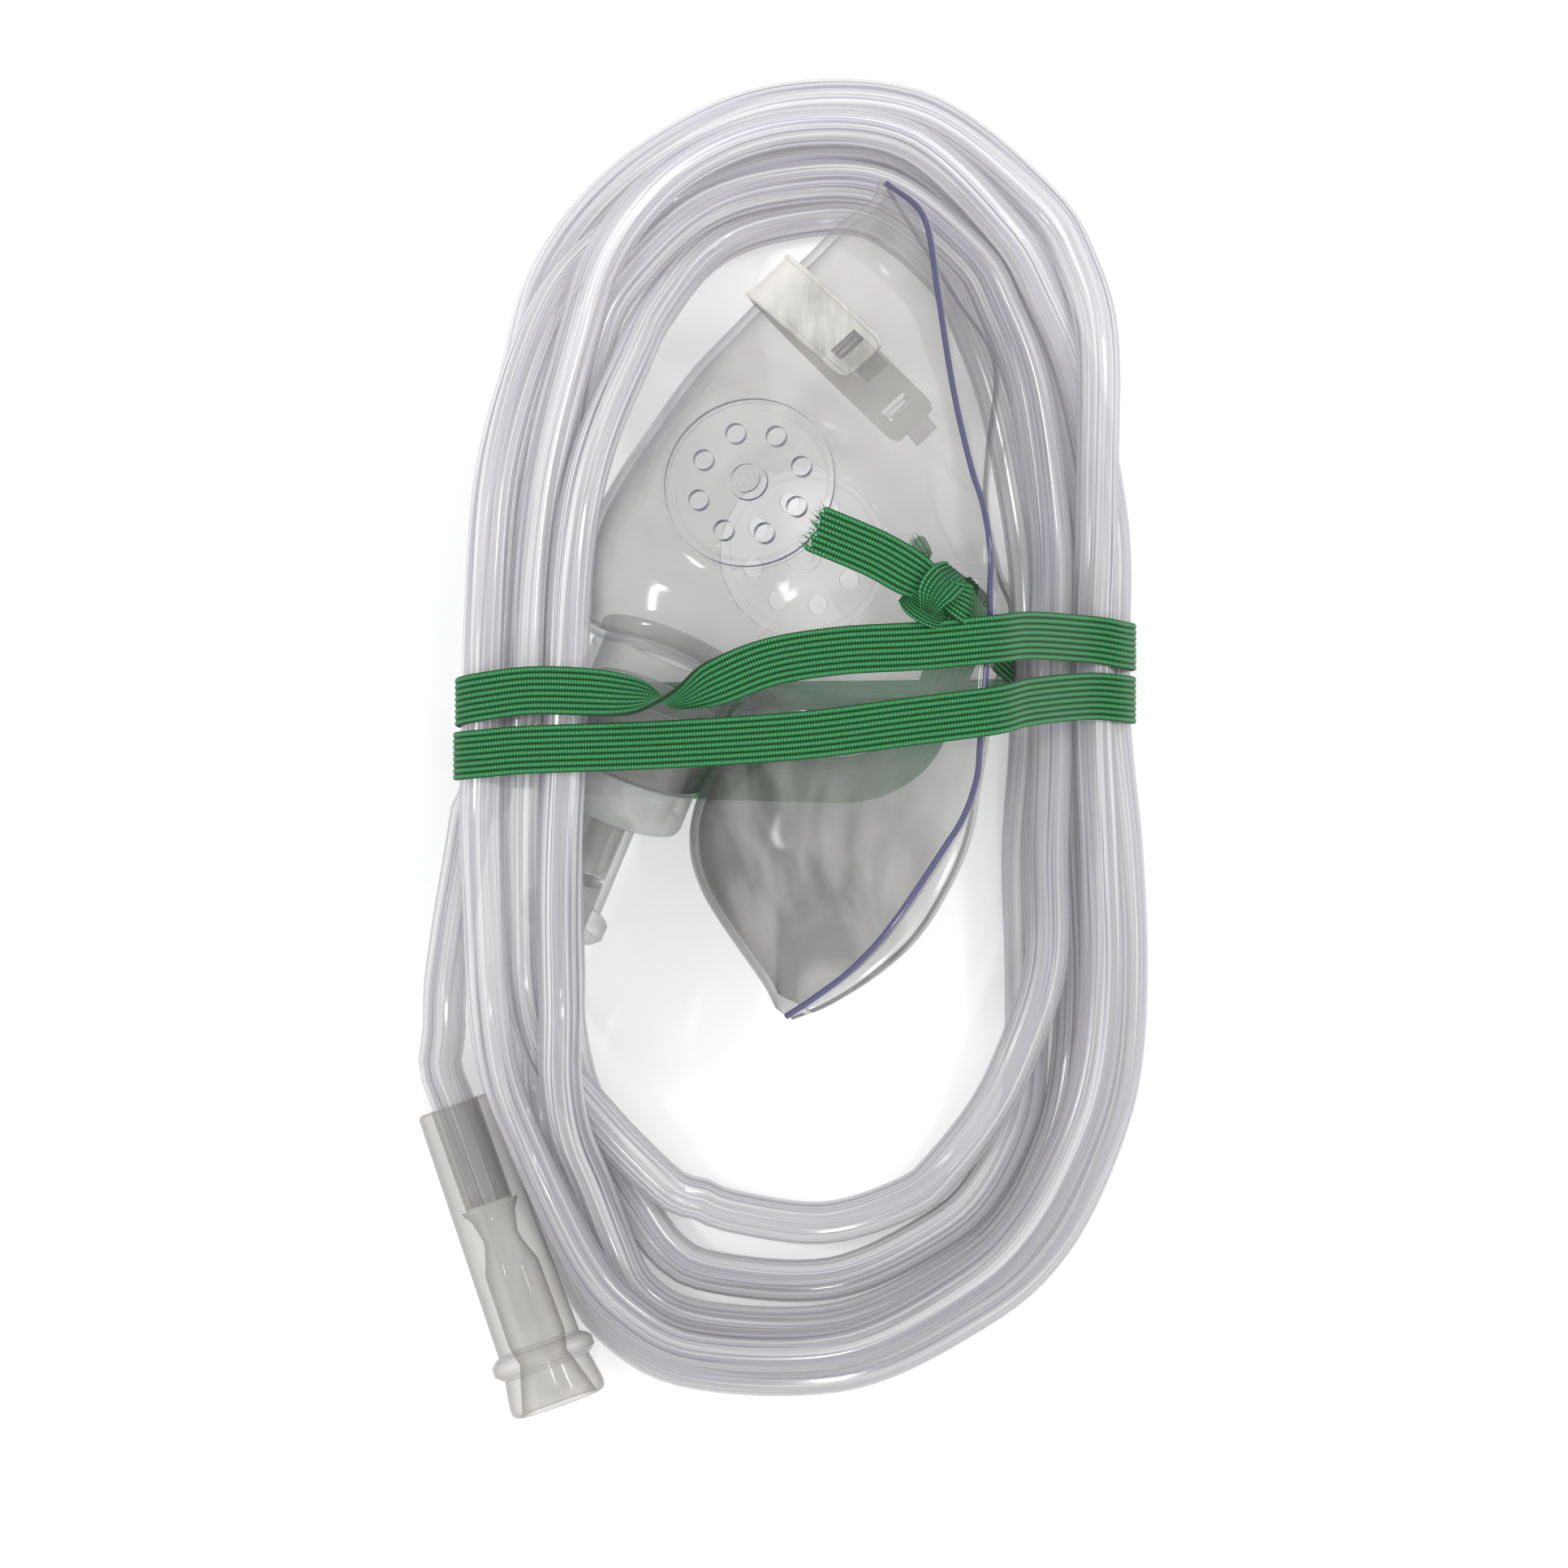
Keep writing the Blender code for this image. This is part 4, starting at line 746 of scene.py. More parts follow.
vent_inside = VENT_RADIUS - VENT_RING_WIDTH
vent_window = ((0.0, -CUT_REACH), (vent_inside, -CUT_REACH), (vent_inside, CUT_REACH), (0.0, CUT_REACH))
vent_low = VENT_PLATE_RISE - VENT_PLATE_WALL
vent_skirt = -SHELL_WALL - 0.0002
boss_top = VENT_PLATE_RISE + VENT_BOSS_HEIGHT
vent_profile = (
    (0.0, vent_low),
    (vent_inside - 0.0006, vent_low),
    (vent_inside - 0.0003, vent_skirt),
    (VENT_RADIUS, vent_skirt),
    (VENT_RADIUS, VENT_RING_HEIGHT - 0.0003),
    (VENT_RADIUS - 0.0002, VENT_RING_HEIGHT),
    (vent_inside + 0.0003, VENT_RING_HEIGHT),
    (vent_inside + 0.0001, VENT_RING_HEIGHT - 0.0002),
    (vent_inside - 0.0002, VENT_PLATE_RISE),
    (VENT_BOSS_RADIUS, VENT_PLATE_RISE),
    (VENT_BOSS_RADIUS - 0.0001, boss_top - 0.0001),
    (VENT_BOSS_RADIUS - 0.0004, boss_top),
    (VENT_BOSS_RADIUS - 0.0008, boss_top - 0.0001),
    (VENT_BOSS_RADIUS - 0.0010, VENT_PLATE_RISE + 0.0003),
    (0.0, VENT_PLATE_RISE + 0.0003),
)
# The moulding gate's curl on the boss
CURL_OFFSET = Vector((0.0005, -0.0004, 0.0))
curl_profile = (
    (0.0, vent_low + 0.0002),
    (0.0021, vent_low + 0.0002),
    (0.0021, boss_top + 0.0003),
    (0.0019, boss_top + 0.0005),
    (0.0016, boss_top + 0.0004),
    (0.0014, boss_top),
    (0.0009, boss_top - 0.0002),
    (0.0006, boss_top + 0.0002),
    (0.0, boss_top + 0.0003),
)
for side in (1, -1):
    cut_round(mask, vent_frames[side], vent_window, "DIFFERENCE")
    plate = revolve("vent_plate", vent_profile, vent_frames[side])
    pins = made_by(pin_tree, pin_identifiers, pin_values, "vent_pins")
    pins.data.transform(vent_frames[side] @ Matrix.Rotation(math.pi / VENT_HOLES, 4, "Z"))
    combine(plate, pins, "DIFFERENCE")
    curl = vent_frames[side] @ Matrix.Translation(CURL_OFFSET)
    cut_round(plate, curl, curl_profile, "UNION", 48)
    combine(mask, plate, "UNION")

# The ear tabs on the rim, each with a slot for the strap
EAR_SECTION = 10.0
EAR_TAB_LENGTH = 0.0120
EAR_TAB_REACH = 0.0064
EAR_TAB_OUT = 0.0006
EAR_SLOT_INSET = 0.0008
EAR_SLOT_LENGTH = 0.0084
EAR_SLOT_WIDTH = 0.0022
EAR_CORNER_SHARE = 0.35
EAR_CORNER_STEPS = 8
EAR_TAB_HEIGHTS = (-SHELL_WALL - 0.0002, 0.0003)


def lofted(name, rings):
    """A closed solid through open rings, capped at both ends."""
    mesh = bmesh.new()
    made = [[mesh.verts.new(p) for p in ring] for ring in rings]
    for low_ring, high_ring in zip(made, made[1:]):
        for k in range(len(low_ring)):
            n = (k + 1) % len(low_ring)
            mesh.faces.new((low_ring[k], low_ring[n], high_ring[n], high_ring[k]))
    mesh.faces.new(made[0][::-1])
    mesh.faces.new(made[-1])
    return made_from(name, mesh)


def slot_block(place, size):
    """A cuboid centred on a frame."""
    corners = ((-0.5, -0.5), (0.5, -0.5), (0.5, 0.5), (-0.5, 0.5))
    rings = []
    for height in (-size[2] / 2, size[2] / 2):
        rings.append([place @ Vector((x * size[0], y * size[1], height)) for x, y in corners])
    return lofted("slot", rings)


ear_corner = EAR_TAB_REACH * EAR_CORNER_SHARE
for side in (1, -1):
    out = -section_frame(EAR_SECTION)[1].normalized()
    rim = shell_point(EAR_SECTION, side * math.pi / 2)
    ear = frame_at(rim - out * EAR_SLOT_INSET, Vector((0, 0, side)), out)
    outline = []
    for corner_side, start in ((-1, -90), (1, 0)):
        for k in range(EAR_CORNER_STEPS + 1):
            turn = math.radians(start + 90 * k / EAR_CORNER_STEPS)
            x = EAR_TAB_OUT + EAR_TAB_REACH / 2 - ear_corner + ear_corner * math.cos(turn)
            outline.append((x, corner_side * (EAR_TAB_LENGTH / 2 - ear_corner) + ear_corner * math.sin(turn)))
    outline += [(EAR_TAB_OUT - EAR_TAB_REACH / 2, y) for y in (EAR_TAB_LENGTH / 2, -EAR_TAB_LENGTH / 2)]
    rings = [[ear @ Vector((x, y, height)) for x, y in outline] for height in EAR_TAB_HEIGHTS]
    combine(mask, lofted("ear_tab", rings), "UNION")
    combine(mask, slot_block(ear, (EAR_SLOT_WIDTH, EAR_SLOT_LENGTH, 2 * CUT_REACH)), "DIFFERENCE")

# The tongues that come up through the nose clip's slots
CLIP_SECTION = 4.0
CLIP_THICKNESS = 0.0007
CLIP_LIFT = 0.0009
CLIP_NEAR_ANGLE = math.radians(60.0)
CLIP_FAR_ANGLE = math.radians(72.0)
CLIP_SLOT_INSET = math.radians(6.0)
TONGUE_WIDTH = 0.0040
TONGUE_THICKNESS = 0.0008
TONGUE_LENGTH = 0.0064
TONGUE_GAP = 0.0003
TONGUE_SMOOTHING = 4


def leg_slope(angle, side=1):
    """The way along the clip's strip at an angle, towards one side's end."""
    turn = side * SLOPE_ANGLE
    return shell_point(CLIP_SECTION, angle + turn) - shell_point(CLIP_SECTION, angle - turn)


def clip_slot_frame(side):
    """The middle of a clip slot, with Z out of the shell and X on towards the leg's end."""
    slot_angle = side * ((CLIP_NEAR_ANGLE if side > 0 else CLIP_FAR_ANGLE) - CLIP_SLOT_INSET)
    outward = normal_of(shell_point, CLIP_SECTION, slot_angle)
    return frame_at(shell_point(CLIP_SECTION, slot_angle), outward, leg_slope(slot_angle, side))


tongue_over = CLIP_LIFT + CLIP_THICKNESS + TONGUE_GAP + TONGUE_THICKNESS / 2
for side in (1, -1):
    place = clip_slot_frame(side)
    tongue_rows = (
        (0.0, 0.0, -SHELL_WALL * 0.7),
        (0.0, 0.0, CLIP_LIFT + CLIP_THICKNESS * 0.6),
        (TONGUE_THICKNESS * 0.5, 0.0, tongue_over - 0.0001),
        (TONGUE_THICKNESS * 1.6, 0.0, tongue_over + 0.0002),
        (TONGUE_LENGTH * 0.6, 0.0, tongue_over),
        (TONGUE_LENGTH, 0.0, tongue_over - TONGUE_THICKNESS),
    )
    tongue_path = smooth_rows(tongue_rows, TONGUE_SMOOTHING)
    edge = Vector((0, TONGUE_WIDTH / 2, 0))
    rings = []
    for i, spot in enumerate(tongue_path):
        ahead = tongue_path[min(i + 1, len(tongue_path) - 1)] - tongue_path[max(i - 1, 0)]
        over = Vector((-ahead[2], 0.0, ahead[0])).normalized() * (TONGUE_THICKNESS / 2)
        corners = (-edge - over, edge - over, edge + over, over - edge)
        rings.append([place @ (Vector(spot) + corner) for corner in corners])
    combine(mask, lofted("tongue", rings), "UNION")

cut_round(mask, port, port_outer, "UNION")
cut_round(mask, port, bore_profile, "DIFFERENCE")


def finish_mesh(made, smooth_angle):
    """Merges doubled points, splits the many-sided faces and shades smooth with crisp edges."""
    mesh = bmesh.new()
    mesh.from_mesh(made.data)
    merge_doubles(mesh)
    bmesh.ops.triangulate(mesh, faces=[f for f in mesh.faces if len(f.verts) > 4])
    write_crisp(mesh, made.data, smooth_angle)


finish_mesh(mask, 35.0)


def joined(target, pieces):
    """Joins the meshes of several pieces into one, UVs and all."""
    mesh = bmesh.new()
    mesh.from_mesh(target.data)
    for piece in pieces:
        mesh.from_mesh(piece.data)
        bpy.data.objects.remove(piece)
    mesh.to_mesh(target.data)
    mesh.free()


# The beaded edge of the lip, one line from nose to chin on each side, and how much of the lip's
# violet each bead has
BEAD_ANGLE = math.radians(99.0)
BEAD_RADII = {1: 0.00046, -1: 0.00030}
BEAD_SHARES = {1: 1.0, -1: 0.55}
BEAD_ROWS = 12
BEAD_STEP = 0.0009
BEAD_SIDES = 10
lip_values = [0.0] * len(mask.data.vertices)
beads = []
for side in (1, -1):
    thick = BEAD_RADII[side]
    edge = [shell_point(i / BEAD_ROWS, side * BEAD_ANGLE) for i in range((len(sections) - 1) * BEAD_ROWS + 1)]
    edge = even_steps(np.array([tuple(p) for p in edge]), BEAD_STEP)

    def round_edge(place, turn):
        return (thick * math.cos(turn), thick * math.sin(turn))

    bead = sweep("bead", edge, round_edge, BEAD_SIDES)
    bead.data.uv_layers.remove(bead.data.uv_layers[0])
    lip_values += [BEAD_SHARES[side]] * len(bead.data.vertices)
    beads.append(bead)
joined(mask, beads)

# How much of the lip's violet each point has, which only the beads have
lip_share = mask.data.attributes.new("lip", "FLOAT", "POINT")
lip_share.data.foreach_set("value", lip_values)


# The walls of the vents' rings, bosses and holes show as fine violet lines, and their plates are
# clearer than the cheek. Both are told apart by how far a face turns from the vent's axis.
WALL_SHARES = {1: 1.0, -1: 0.35}
VENT_ZONE_RADIUS = VENT_RADIUS + 0.0003
VENT_ZONE_HEIGHT = 0.003
WALL_FACING = 0.35
vent_marks = {"vent_wall": [0.0] * len(mask.data.polygons), "vent_plate": [0.0] * len(mask.data.polygons)}
for side, vent in vent_frames.items():
    back, axis = vent.inverted(), vent.to_3x3() @ Vector((0, 0, 1))
    for face in mask.data.polygons:
        local = back @ face.center
        if math.hypot(local.x, local.y) < VENT_ZONE_RADIUS and abs(local.z) < VENT_ZONE_HEIGHT:
            if abs(face.normal.dot(axis)) < WALL_FACING:
                vent_marks["vent_wall"][face.index] = WALL_SHARES[side]
            else:
                vent_marks["vent_plate"][face.index] = 1.0
for name, values in vent_marks.items():
    mask.data.attributes.new(name, "FLOAT", "FACE").data.foreach_set("value", values)


# How far the wall is turned away, 0 to 1: over what span it grows violet, and over what span it
# closes up
VIOLET_FACING = (0.25, 0.95)
OPACITY_FACING = (0.15, 0.95)


def clear_vinyl(name, body, edge_colour, opacity, roughness, cloud_scale, cloud_dark=0.5):
    """Clear soft PVC: see-through where seen square on, darker and violet where the wall turns away."""
    made, tree, shader = new_material(name, Roughness=roughness, IOR=1.5, Specular_IOR_Level=0.9)
    place = object_place(tree)
    # The cloud varies the body's tone at random, and its light patches are painted soft reflections
    cloud = noise(tree, place, Scale=cloud_scale, Detail=2.0, Roughness=0.6, Distortion=0.8)
    facing = node(tree, "ShaderNodeLayerWeight", Blend=0.35).outputs["Facing"]
    shade = ramp(tree, cloud, ((0.3, tuple(c * cloud_dark for c in body)), (0.7, body)))
    turned = ramp(tree, facing, tuple(zip(VIOLET_FACING, ((0, 0, 0), (1, 1, 1)))))
    wave = noise(tree, place, Scale=cloud_scale * 0.5, Detail=1.0)
    feed(shader, Base_Color=mixed(tree, turned, shade, edge_colour), Normal=bumped(tree, wave, 0.25, 0.0015))
    feed(shader, Alpha=mapped(tree, facing, OPACITY_FACING, opacity))
    return made


LIP_VIOLET = (0.085, 0.08, 0.19)
LIP_OPACITY = 0.85
PLATE_CLEARING = -0.60
# The chin is darker and more opaque round its middle, unevenly: partly its thicker wall, partly painted shade
# and dark reflections
CHIN_MIDDLE = (-0.0036, -0.0405, 0.0240)
CHIN_RANGE = (0.019, 0.036)
CHIN_WALL_AND_SHADE = (0.10, 0.098, 0.09)
CHIN_OPACITY = 0.20
CHIN_CLOUD_TURN = (0.0, 0.0, math.radians(32.0))
CHIN_CLOUD_SCALE = (95.0, 34.0, 60.0)
CHIN_CLOUD_RANGE, CHIN_CLOUD_SHARES = (0.62, 0.40), (0.25, 1.0)
mask_vinyl = clear_vinyl("mask_vinyl", (0.55, 0.54, 0.52), (0.26, 0.25, 0.35), (0.155, 0.70), 0.10, 45.0)
tree = mask_vinyl.node_tree
shader = tree.nodes["Principled BSDF"]
colour, alpha = (shader.inputs[key].links[0].from_socket for key in ("Base Color", "Alpha"))
marks = ("lip", "vent_wall", "vent_plate")
lip, wall, plate = (node(tree, "ShaderNodeAttribute", attribute_name=mark).outputs["Fac"] for mark in marks)
violet = calc(tree, "MAXIMUM", lip, wall)
place = object_place(tree)
chin_away = node(tree, "ShaderNodeVectorMath", place, CHIN_MIDDLE, operation="DISTANCE").outputs["Value"]
chin = mapped(tree, chin_away, CHIN_RANGE, (1.0, 0.0))
cloud_place = stretched(tree, place, Rotation=CHIN_CLOUD_TURN, Scale=CHIN_CLOUD_SCALE)
chin_cloud = noise(tree, cloud_place, Scale=1.0, Detail=3.0, Roughness=0.6, Distortion=0.9)
chin_part = calc(tree, "MULTIPLY", chin, mapped(tree, chin_cloud, CHIN_CLOUD_RANGE, CHIN_CLOUD_SHARES))
# Painted shade at the chin, with the violet of the lip and the vent walls over it
colour = mixed(tree, violet, mixed(tree, chin_part, colour, CHIN_WALL_AND_SHADE), LIP_VIOLET)
alpha = calc(tree, "MAXIMUM", calc(tree, "MULTIPLY", violet, LIP_OPACITY), alpha)
alpha = calc(tree, "MULTIPLY_ADD", chin, CHIN_OPACITY, alpha)
alpha = calc(tree, "MULTIPLY", alpha, calc(tree, "MULTIPLY_ADD", plate, PLATE_CLEARING, 1.0))
feed(shader, Base_Color=colour, Alpha=alpha)
coat(mask, mask_vinyl)
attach(mask, "root")
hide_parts("mask_shell")


# Nose clip. One strip of soft satin aluminium with a turned-up edge along each side and a slot near
# each end. It is pressed over the bridge of the mask, and a tongue of the mask holds each end.
CLIP_WIDTH = 0.0086
CLIP_SLOT_LENGTH = 0.0048
CLIP_SLOT_WIDTH = 0.0022
CLIP_FLANGE = 0.0004
CLIP_ROWS = 90
CLIP_END_ROWS = 2.5
CLIP_END_SHARE, CLIP_END_GROWTH = 0.80, 0.20
CLIP_SLOPE_STATIONS = 0.2
clip_section = (
    (-0.50, 0.0),
    (0.50, 0.0),
    (0.50, CLIP_THICKNESS * 0.6 + CLIP_FLANGE),
    (0.47, CLIP_THICKNESS + CLIP_FLANGE),
    (0.43, CLIP_THICKNESS + CLIP_FLANGE * 0.8),
    (0.40, CLIP_THICKNESS),
    (-0.40, CLIP_THICKNESS),
    (-0.43, CLIP_THICKNESS + CLIP_FLANGE * 0.8),
    (-0.47, CLIP_THICKNESS + CLIP_FLANGE),
    (-0.50, CLIP_THICKNESS * 0.6 + CLIP_FLANGE),
)
rings = []
clip_sweep = CLIP_NEAR_ANGLE + CLIP_FAR_ANGLE
for k in range(CLIP_ROWS + 1):
    angle = clip_sweep * k / CLIP_ROWS - CLIP_FAR_ANGLE
    fore, aft = CLIP_SECTION + CLIP_SLOPE_STATIONS, CLIP_SECTION - CLIP_SLOPE_STATIONS
    along_ridge = shell_point(fore, angle) - shell_point(aft, angle)
    outward = normal_of(shell_point, CLIP_SECTION, angle)
    across = leg_slope(angle).cross(outward).normalized()
    across = -across if across.dot(along_ridge) < 0 else across
    foot = shell_point(CLIP_SECTION, angle)
    end_share = min(1.0, min(k, CLIP_ROWS - k) / CLIP_END_ROWS)
    half = CLIP_WIDTH * (CLIP_END_SHARE + CLIP_END_GROWTH * math.sqrt(1 - (1 - end_share) ** 2))
    rings.append([foot + across * (x * half) + outward * (CLIP_LIFT + h) for x, h in clip_section])
nose_clip = lofted("clip", rings)
for side in (1, -1):
    slot_size = (CLIP_SLOT_WIDTH, CLIP_SLOT_LENGTH, 2 * CUT_REACH)
    combine(nose_clip, slot_block(clip_slot_frame(side), slot_size), "DIFFERENCE")
finish_mesh(nose_clip, 30.0)

CLIP_GREYS = ((0.35, (0.44, 0.44, 0.41)), (0.50, (0.58, 0.58, 0.54)), (0.78, (0.78, 0.78, 0.74)))
GRAIN_TURN = (0.0, 0.0, math.radians(35.0))
GRAIN_SCALE = (900.0, 120.0, 300.0)
CLIP_ROUGHNESS = (0.38, 0.62)
# The far leg lies in shade under the mask and is painted lighter: from which height, how much and which
# colour
LEG_HEIGHTS, LEG_SHARES = (0.034, 0.026), (0.0, 0.95)
LEG_PAINTED_LIGHT = (0.98, 0.94, 0.89)
clip_metal, tree, shader = new_material("clip_aluminium", Metallic=0.4)
place = object_place(tree)
grain_place = stretched(tree, place, Rotation=GRAIN_TURN, Scale=GRAIN_SCALE)
grain = noise(tree, grain_place, Scale=1.0, Detail=5.0, Roughness=0.7)
patches = noise(tree, place, Scale=160.0, Detail=3.0)
surface = calc(tree, "MULTIPLY_ADD", grain, 0.5, calc(tree, "MULTIPLY", patches, 0.5))
# Painted light on the far leg, growing towards its lower end
leg = mapped(tree, node(tree, "ShaderNodeSeparateXYZ", place).outputs["Z"], LEG_HEIGHTS, LEG_SHARES)
feed(
    shader,
    Base_Color=mixed(tree, leg, ramp(tree, surface, CLIP_GREYS), LEG_PAINTED_LIGHT),
    Roughness=mapped(tree, grain, (0.0, 1.0), CLIP_ROUGHNESS),
    Normal=bumped(tree, surface, 0.25, 0.0002),
)
coat(nose_clip, clip_metal)
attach(nose_clip, "root")
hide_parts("nose_clip")


# Port adapter. One frosted cup of stiff plastic that turns in the port, with two small windows in
# its wall and a nipple for the tubing.
FIT_GAP = 0.0003
ADAPTER_WALL = 0.0014
ADAPTER_SHOULDER_DIAMETER = 0.0220
ADAPTER_SHOULDER_LENGTH = 0.0072
ADAPTER_PLUG_LENGTH = 0.0110
ADAPTER_WINDOW_WIDTH = 0.0026
ADAPTER_WINDOW_HEIGHT = 0.0030
ADAPTER_WINDOW_TURN = math.radians(61.0)
NIPPLE_DIAMETER = 0.0066
NIPPLE_BORE = 0.0036
NIPPLE_LENGTH = 0.0085
SLEEVE_STANDOFF = 0.0014
cup = port @ Matrix.Translation((0, 0, PORT_LENGTH + FIT_GAP))
plug = PORT_DIAMETER / 2 - PORT_WALL - FIT_GAP
shoulder = ADAPTER_SHOULDER_DIAMETER / 2
cup_inside = plug - ADAPTER_WALL
nipple = NIPPLE_DIAMETER / 2
nipple_tip = ADAPTER_SHOULDER_LENGTH + SLEEVE_STANDOFF + NIPPLE_LENGTH
cup_profile = (
    (NIPPLE_BORE / 2, ADAPTER_SHOULDER_LENGTH - ADAPTER_WALL),
    (cup_inside, ADAPTER_SHOULDER_LENGTH - ADAPTER_WALL),
    (cup_inside, -ADAPTER_PLUG_LENGTH),
    (plug - 0.0004, -ADAPTER_PLUG_LENGTH),
    (plug, -ADAPTER_PLUG_LENGTH + 0.0004),
    (plug, 0.0),
    (shoulder - 0.0002, 0.0),
    (shoulder, 0.0002),
    (shoulder, ADAPTER_SHOULDER_LENGTH - 0.0010),
    (shoulder - 0.0003, ADAPTER_SHOULDER_LENGTH - 0.0003),
    (shoulder - 0.0010, ADAPTER_SHOULDER_LENGTH),
    (nipple, ADAPTER_SHOULDER_LENGTH),
    (nipple, nipple_tip - 0.0006),
    (nipple - 0.0005, nipple_tip),
    (NIPPLE_BORE / 2, nipple_tip),
)
adapter = revolve("adapter", cup_profile, cup)
for side in (1, -1):
    window_height = ADAPTER_SHOULDER_LENGTH - ADAPTER_WALL - ADAPTER_WINDOW_HEIGHT / 2
    window_place = Matrix.Translation(((cup_inside + shoulder) / 2, 0, window_height))
    window = cup @ Matrix.Rotation(side * ADAPTER_WINDOW_TURN + math.pi, 4, "Z") @ window_place
    window_size = (shoulder - cup_inside + 0.004, ADAPTER_WINDOW_WIDTH, ADAPTER_WINDOW_HEIGHT)
    combine(adapter, slot_block(window, window_size), "DIFFERENCE")
finish_mesh(adapter, 35.0)
adapter_plastic = clear_vinyl(
    "adapter_frosted", (0.76, 0.77, 0.75), (0.44, 0.45, 0.48), (0.42, 0.85), 0.42, 300.0, 0.85
)
coat(adapter, adapter_plastic)
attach(adapter, "root")
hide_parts("port_adapter")


# Mask connector. One clear soft PVC sleeve with a collar, pushed over the adapter's nipple, with the
# tubing's first end pushed into it.
SLEEVE_DIAMETER = 0.0099
SLEEVE_LENGTH = 0.0186
SLEEVE_STOP = 0.0012
SLEEVE_COLLAR_DIAMETER = 0.0132
SLEEVE_COLLAR_THICKNESS = 0.0034
sleeve_place = cup @ Matrix.Translation((0, 0, ADAPTER_SHOULDER_LENGTH + SLEEVE_STANDOFF))
sleeve_outer = SLEEVE_DIAMETER / 2
sleeve_collar = SLEEVE_COLLAR_DIAMETER / 2
sleeve_socket = NIPPLE_DIAMETER / 2 + FIT_GAP
tube_socket = TUBE_DIAMETER / 2 + FIT_GAP
stop_end = SLEEVE_LENGTH - DEPTH_IN_SLEEVE - FIT_GAP
collar_start = SLEEVE_LENGTH - SLEEVE_COLLAR_THICKNESS
sleeve_profile = (
    (sleeve_socket, 0.0),
    (sleeve_outer - 0.0004, 0.0),
    (sleeve_outer, 0.0004),
    (sleeve_outer, collar_start - 0.0004),
    (sleeve_outer + 0.0004, collar_start),
    (sleeve_collar - 0.0006, collar_start + 0.0001),
    (sleeve_collar, collar_start + 0.0007),
    (sleeve_collar, SLEEVE_LENGTH - 0.0007),
    (sleeve_collar - 0.0006, SLEEVE_LENGTH),
    (tube_socket, SLEEVE_LENGTH),
    (tube_socket, stop_end),
    (NIPPLE_BORE / 2, stop_end),
    (NIPPLE_BORE / 2, stop_end - SLEEVE_STOP),
    (sleeve_socket, stop_end - SLEEVE_STOP),
)
sleeve = revolve("sleeve", sleeve_profile, sleeve_place)
connector_vinyl = clear_vinyl(
    "connector_vinyl", (0.44, 0.44, 0.42), (0.24, 0.23, 0.30), (0.16, 0.88), 0.06, 200.0, 0.7
)
coat(sleeve, connector_vinyl)
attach(sleeve, "root")
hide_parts("mask_tube_connector")


# Supply connector. One clear PVC moulding on the tubing's last end: a barrel with a narrow throat
# inside, a collar to pull it by, and a flared mouth that fits the flow meter's outlet.
SUPPLY_LENGTH = 0.0475
SUPPLY_TOP_DIAMETER = 0.0114
SUPPLY_BARREL_DIAMETER = 0.0128
SUPPLY_COLLAR_DIAMETER = 0.0158
SUPPLY_COLLAR_THICKNESS = 0.0034
SUPPLY_COLLAR_PLACE = 0.0382
SUPPLY_WAIST_DIAMETER = 0.0130
SUPPLY_MOUTH_DIAMETER = 0.0148
SUPPLY_MOUTH_BORE = 0.0120
SUPPLY_CHAMBER_DIAMETER = 0.0088
SUPPLY_BORE = 0.0072
SUPPLY_NECK_DIAMETER = 0.0054
supply_place = frame_at(SUPPLY_TOP, SUPPLY_HEADING, Vector((0, 0, 1)))
supply_stop = DEPTH_IN_SUPPLY + FIT_GAP
supply_collar = SUPPLY_COLLAR_DIAMETER / 2
collar_end = SUPPLY_COLLAR_PLACE + SUPPLY_COLLAR_THICKNESS
supply_waist = SUPPLY_WAIST_DIAMETER / 2
supply_mouth = SUPPLY_MOUTH_DIAMETER / 2
supply_bore = SUPPLY_BORE / 2
supply_chamber = SUPPLY_CHAMBER_DIAMETER / 2
supply_neck = SUPPLY_NECK_DIAMETER / 2
supply_profile = (
    (tube_socket, 0.0),
    (SUPPLY_TOP_DIAMETER / 2 - 0.0005, 0.0),
    (SUPPLY_TOP_DIAMETER / 2, 0.0005),
    (SUPPLY_BARREL_DIAMETER / 2, SUPPLY_COLLAR_PLACE - 0.0002),
    (supply_collar - 0.0007, SUPPLY_COLLAR_PLACE + 0.0003),
    (supply_collar, SUPPLY_COLLAR_PLACE + 0.0010),
    (supply_collar, collar_end - 0.0010),
    (supply_collar - 0.0007, collar_end - 0.0003),
    (supply_waist + 0.0002, collar_end),
    (supply_waist + 0.0004, collar_end + 0.0012),
    (supply_mouth - 0.0001, SUPPLY_LENGTH - 0.0022),
    (supply_mouth, SUPPLY_LENGTH - 0.0014),
    (supply_mouth - 0.0001, SUPPLY_LENGTH - 0.0007),
    (supply_mouth - 0.0004, SUPPLY_LENGTH - 0.0002),
    (supply_mouth - 0.0008, SUPPLY_LENGTH),
    (SUPPLY_MOUTH_BORE / 2, SUPPLY_LENGTH),
    (supply_bore + 0.0005, collar_end - 0.0005),
    (supply_bore + 0.0001, collar_end - 0.0015),
    (supply_chamber - 0.0003, collar_end - 0.0030),
    (supply_chamber, collar_end - 0.0045),
    (supply_chamber - 0.0002, supply_stop + 0.0100),
    (supply_bore - 0.0001, supply_stop + 0.0080),
    (supply_neck + 0.0002, supply_stop + 0.0062),
    (supply_neck, supply_stop + 0.0050),
    (supply_neck + 0.0003, supply_stop + 0.0036),
    (supply_bore - 0.0002, supply_stop + 0.0018),
    (supply_chamber - 0.0002, supply_stop + 0.0006),
    (supply_chamber, supply_stop + 0.0002),
    (supply_chamber, supply_stop),
    (tube_socket, supply_stop),
)
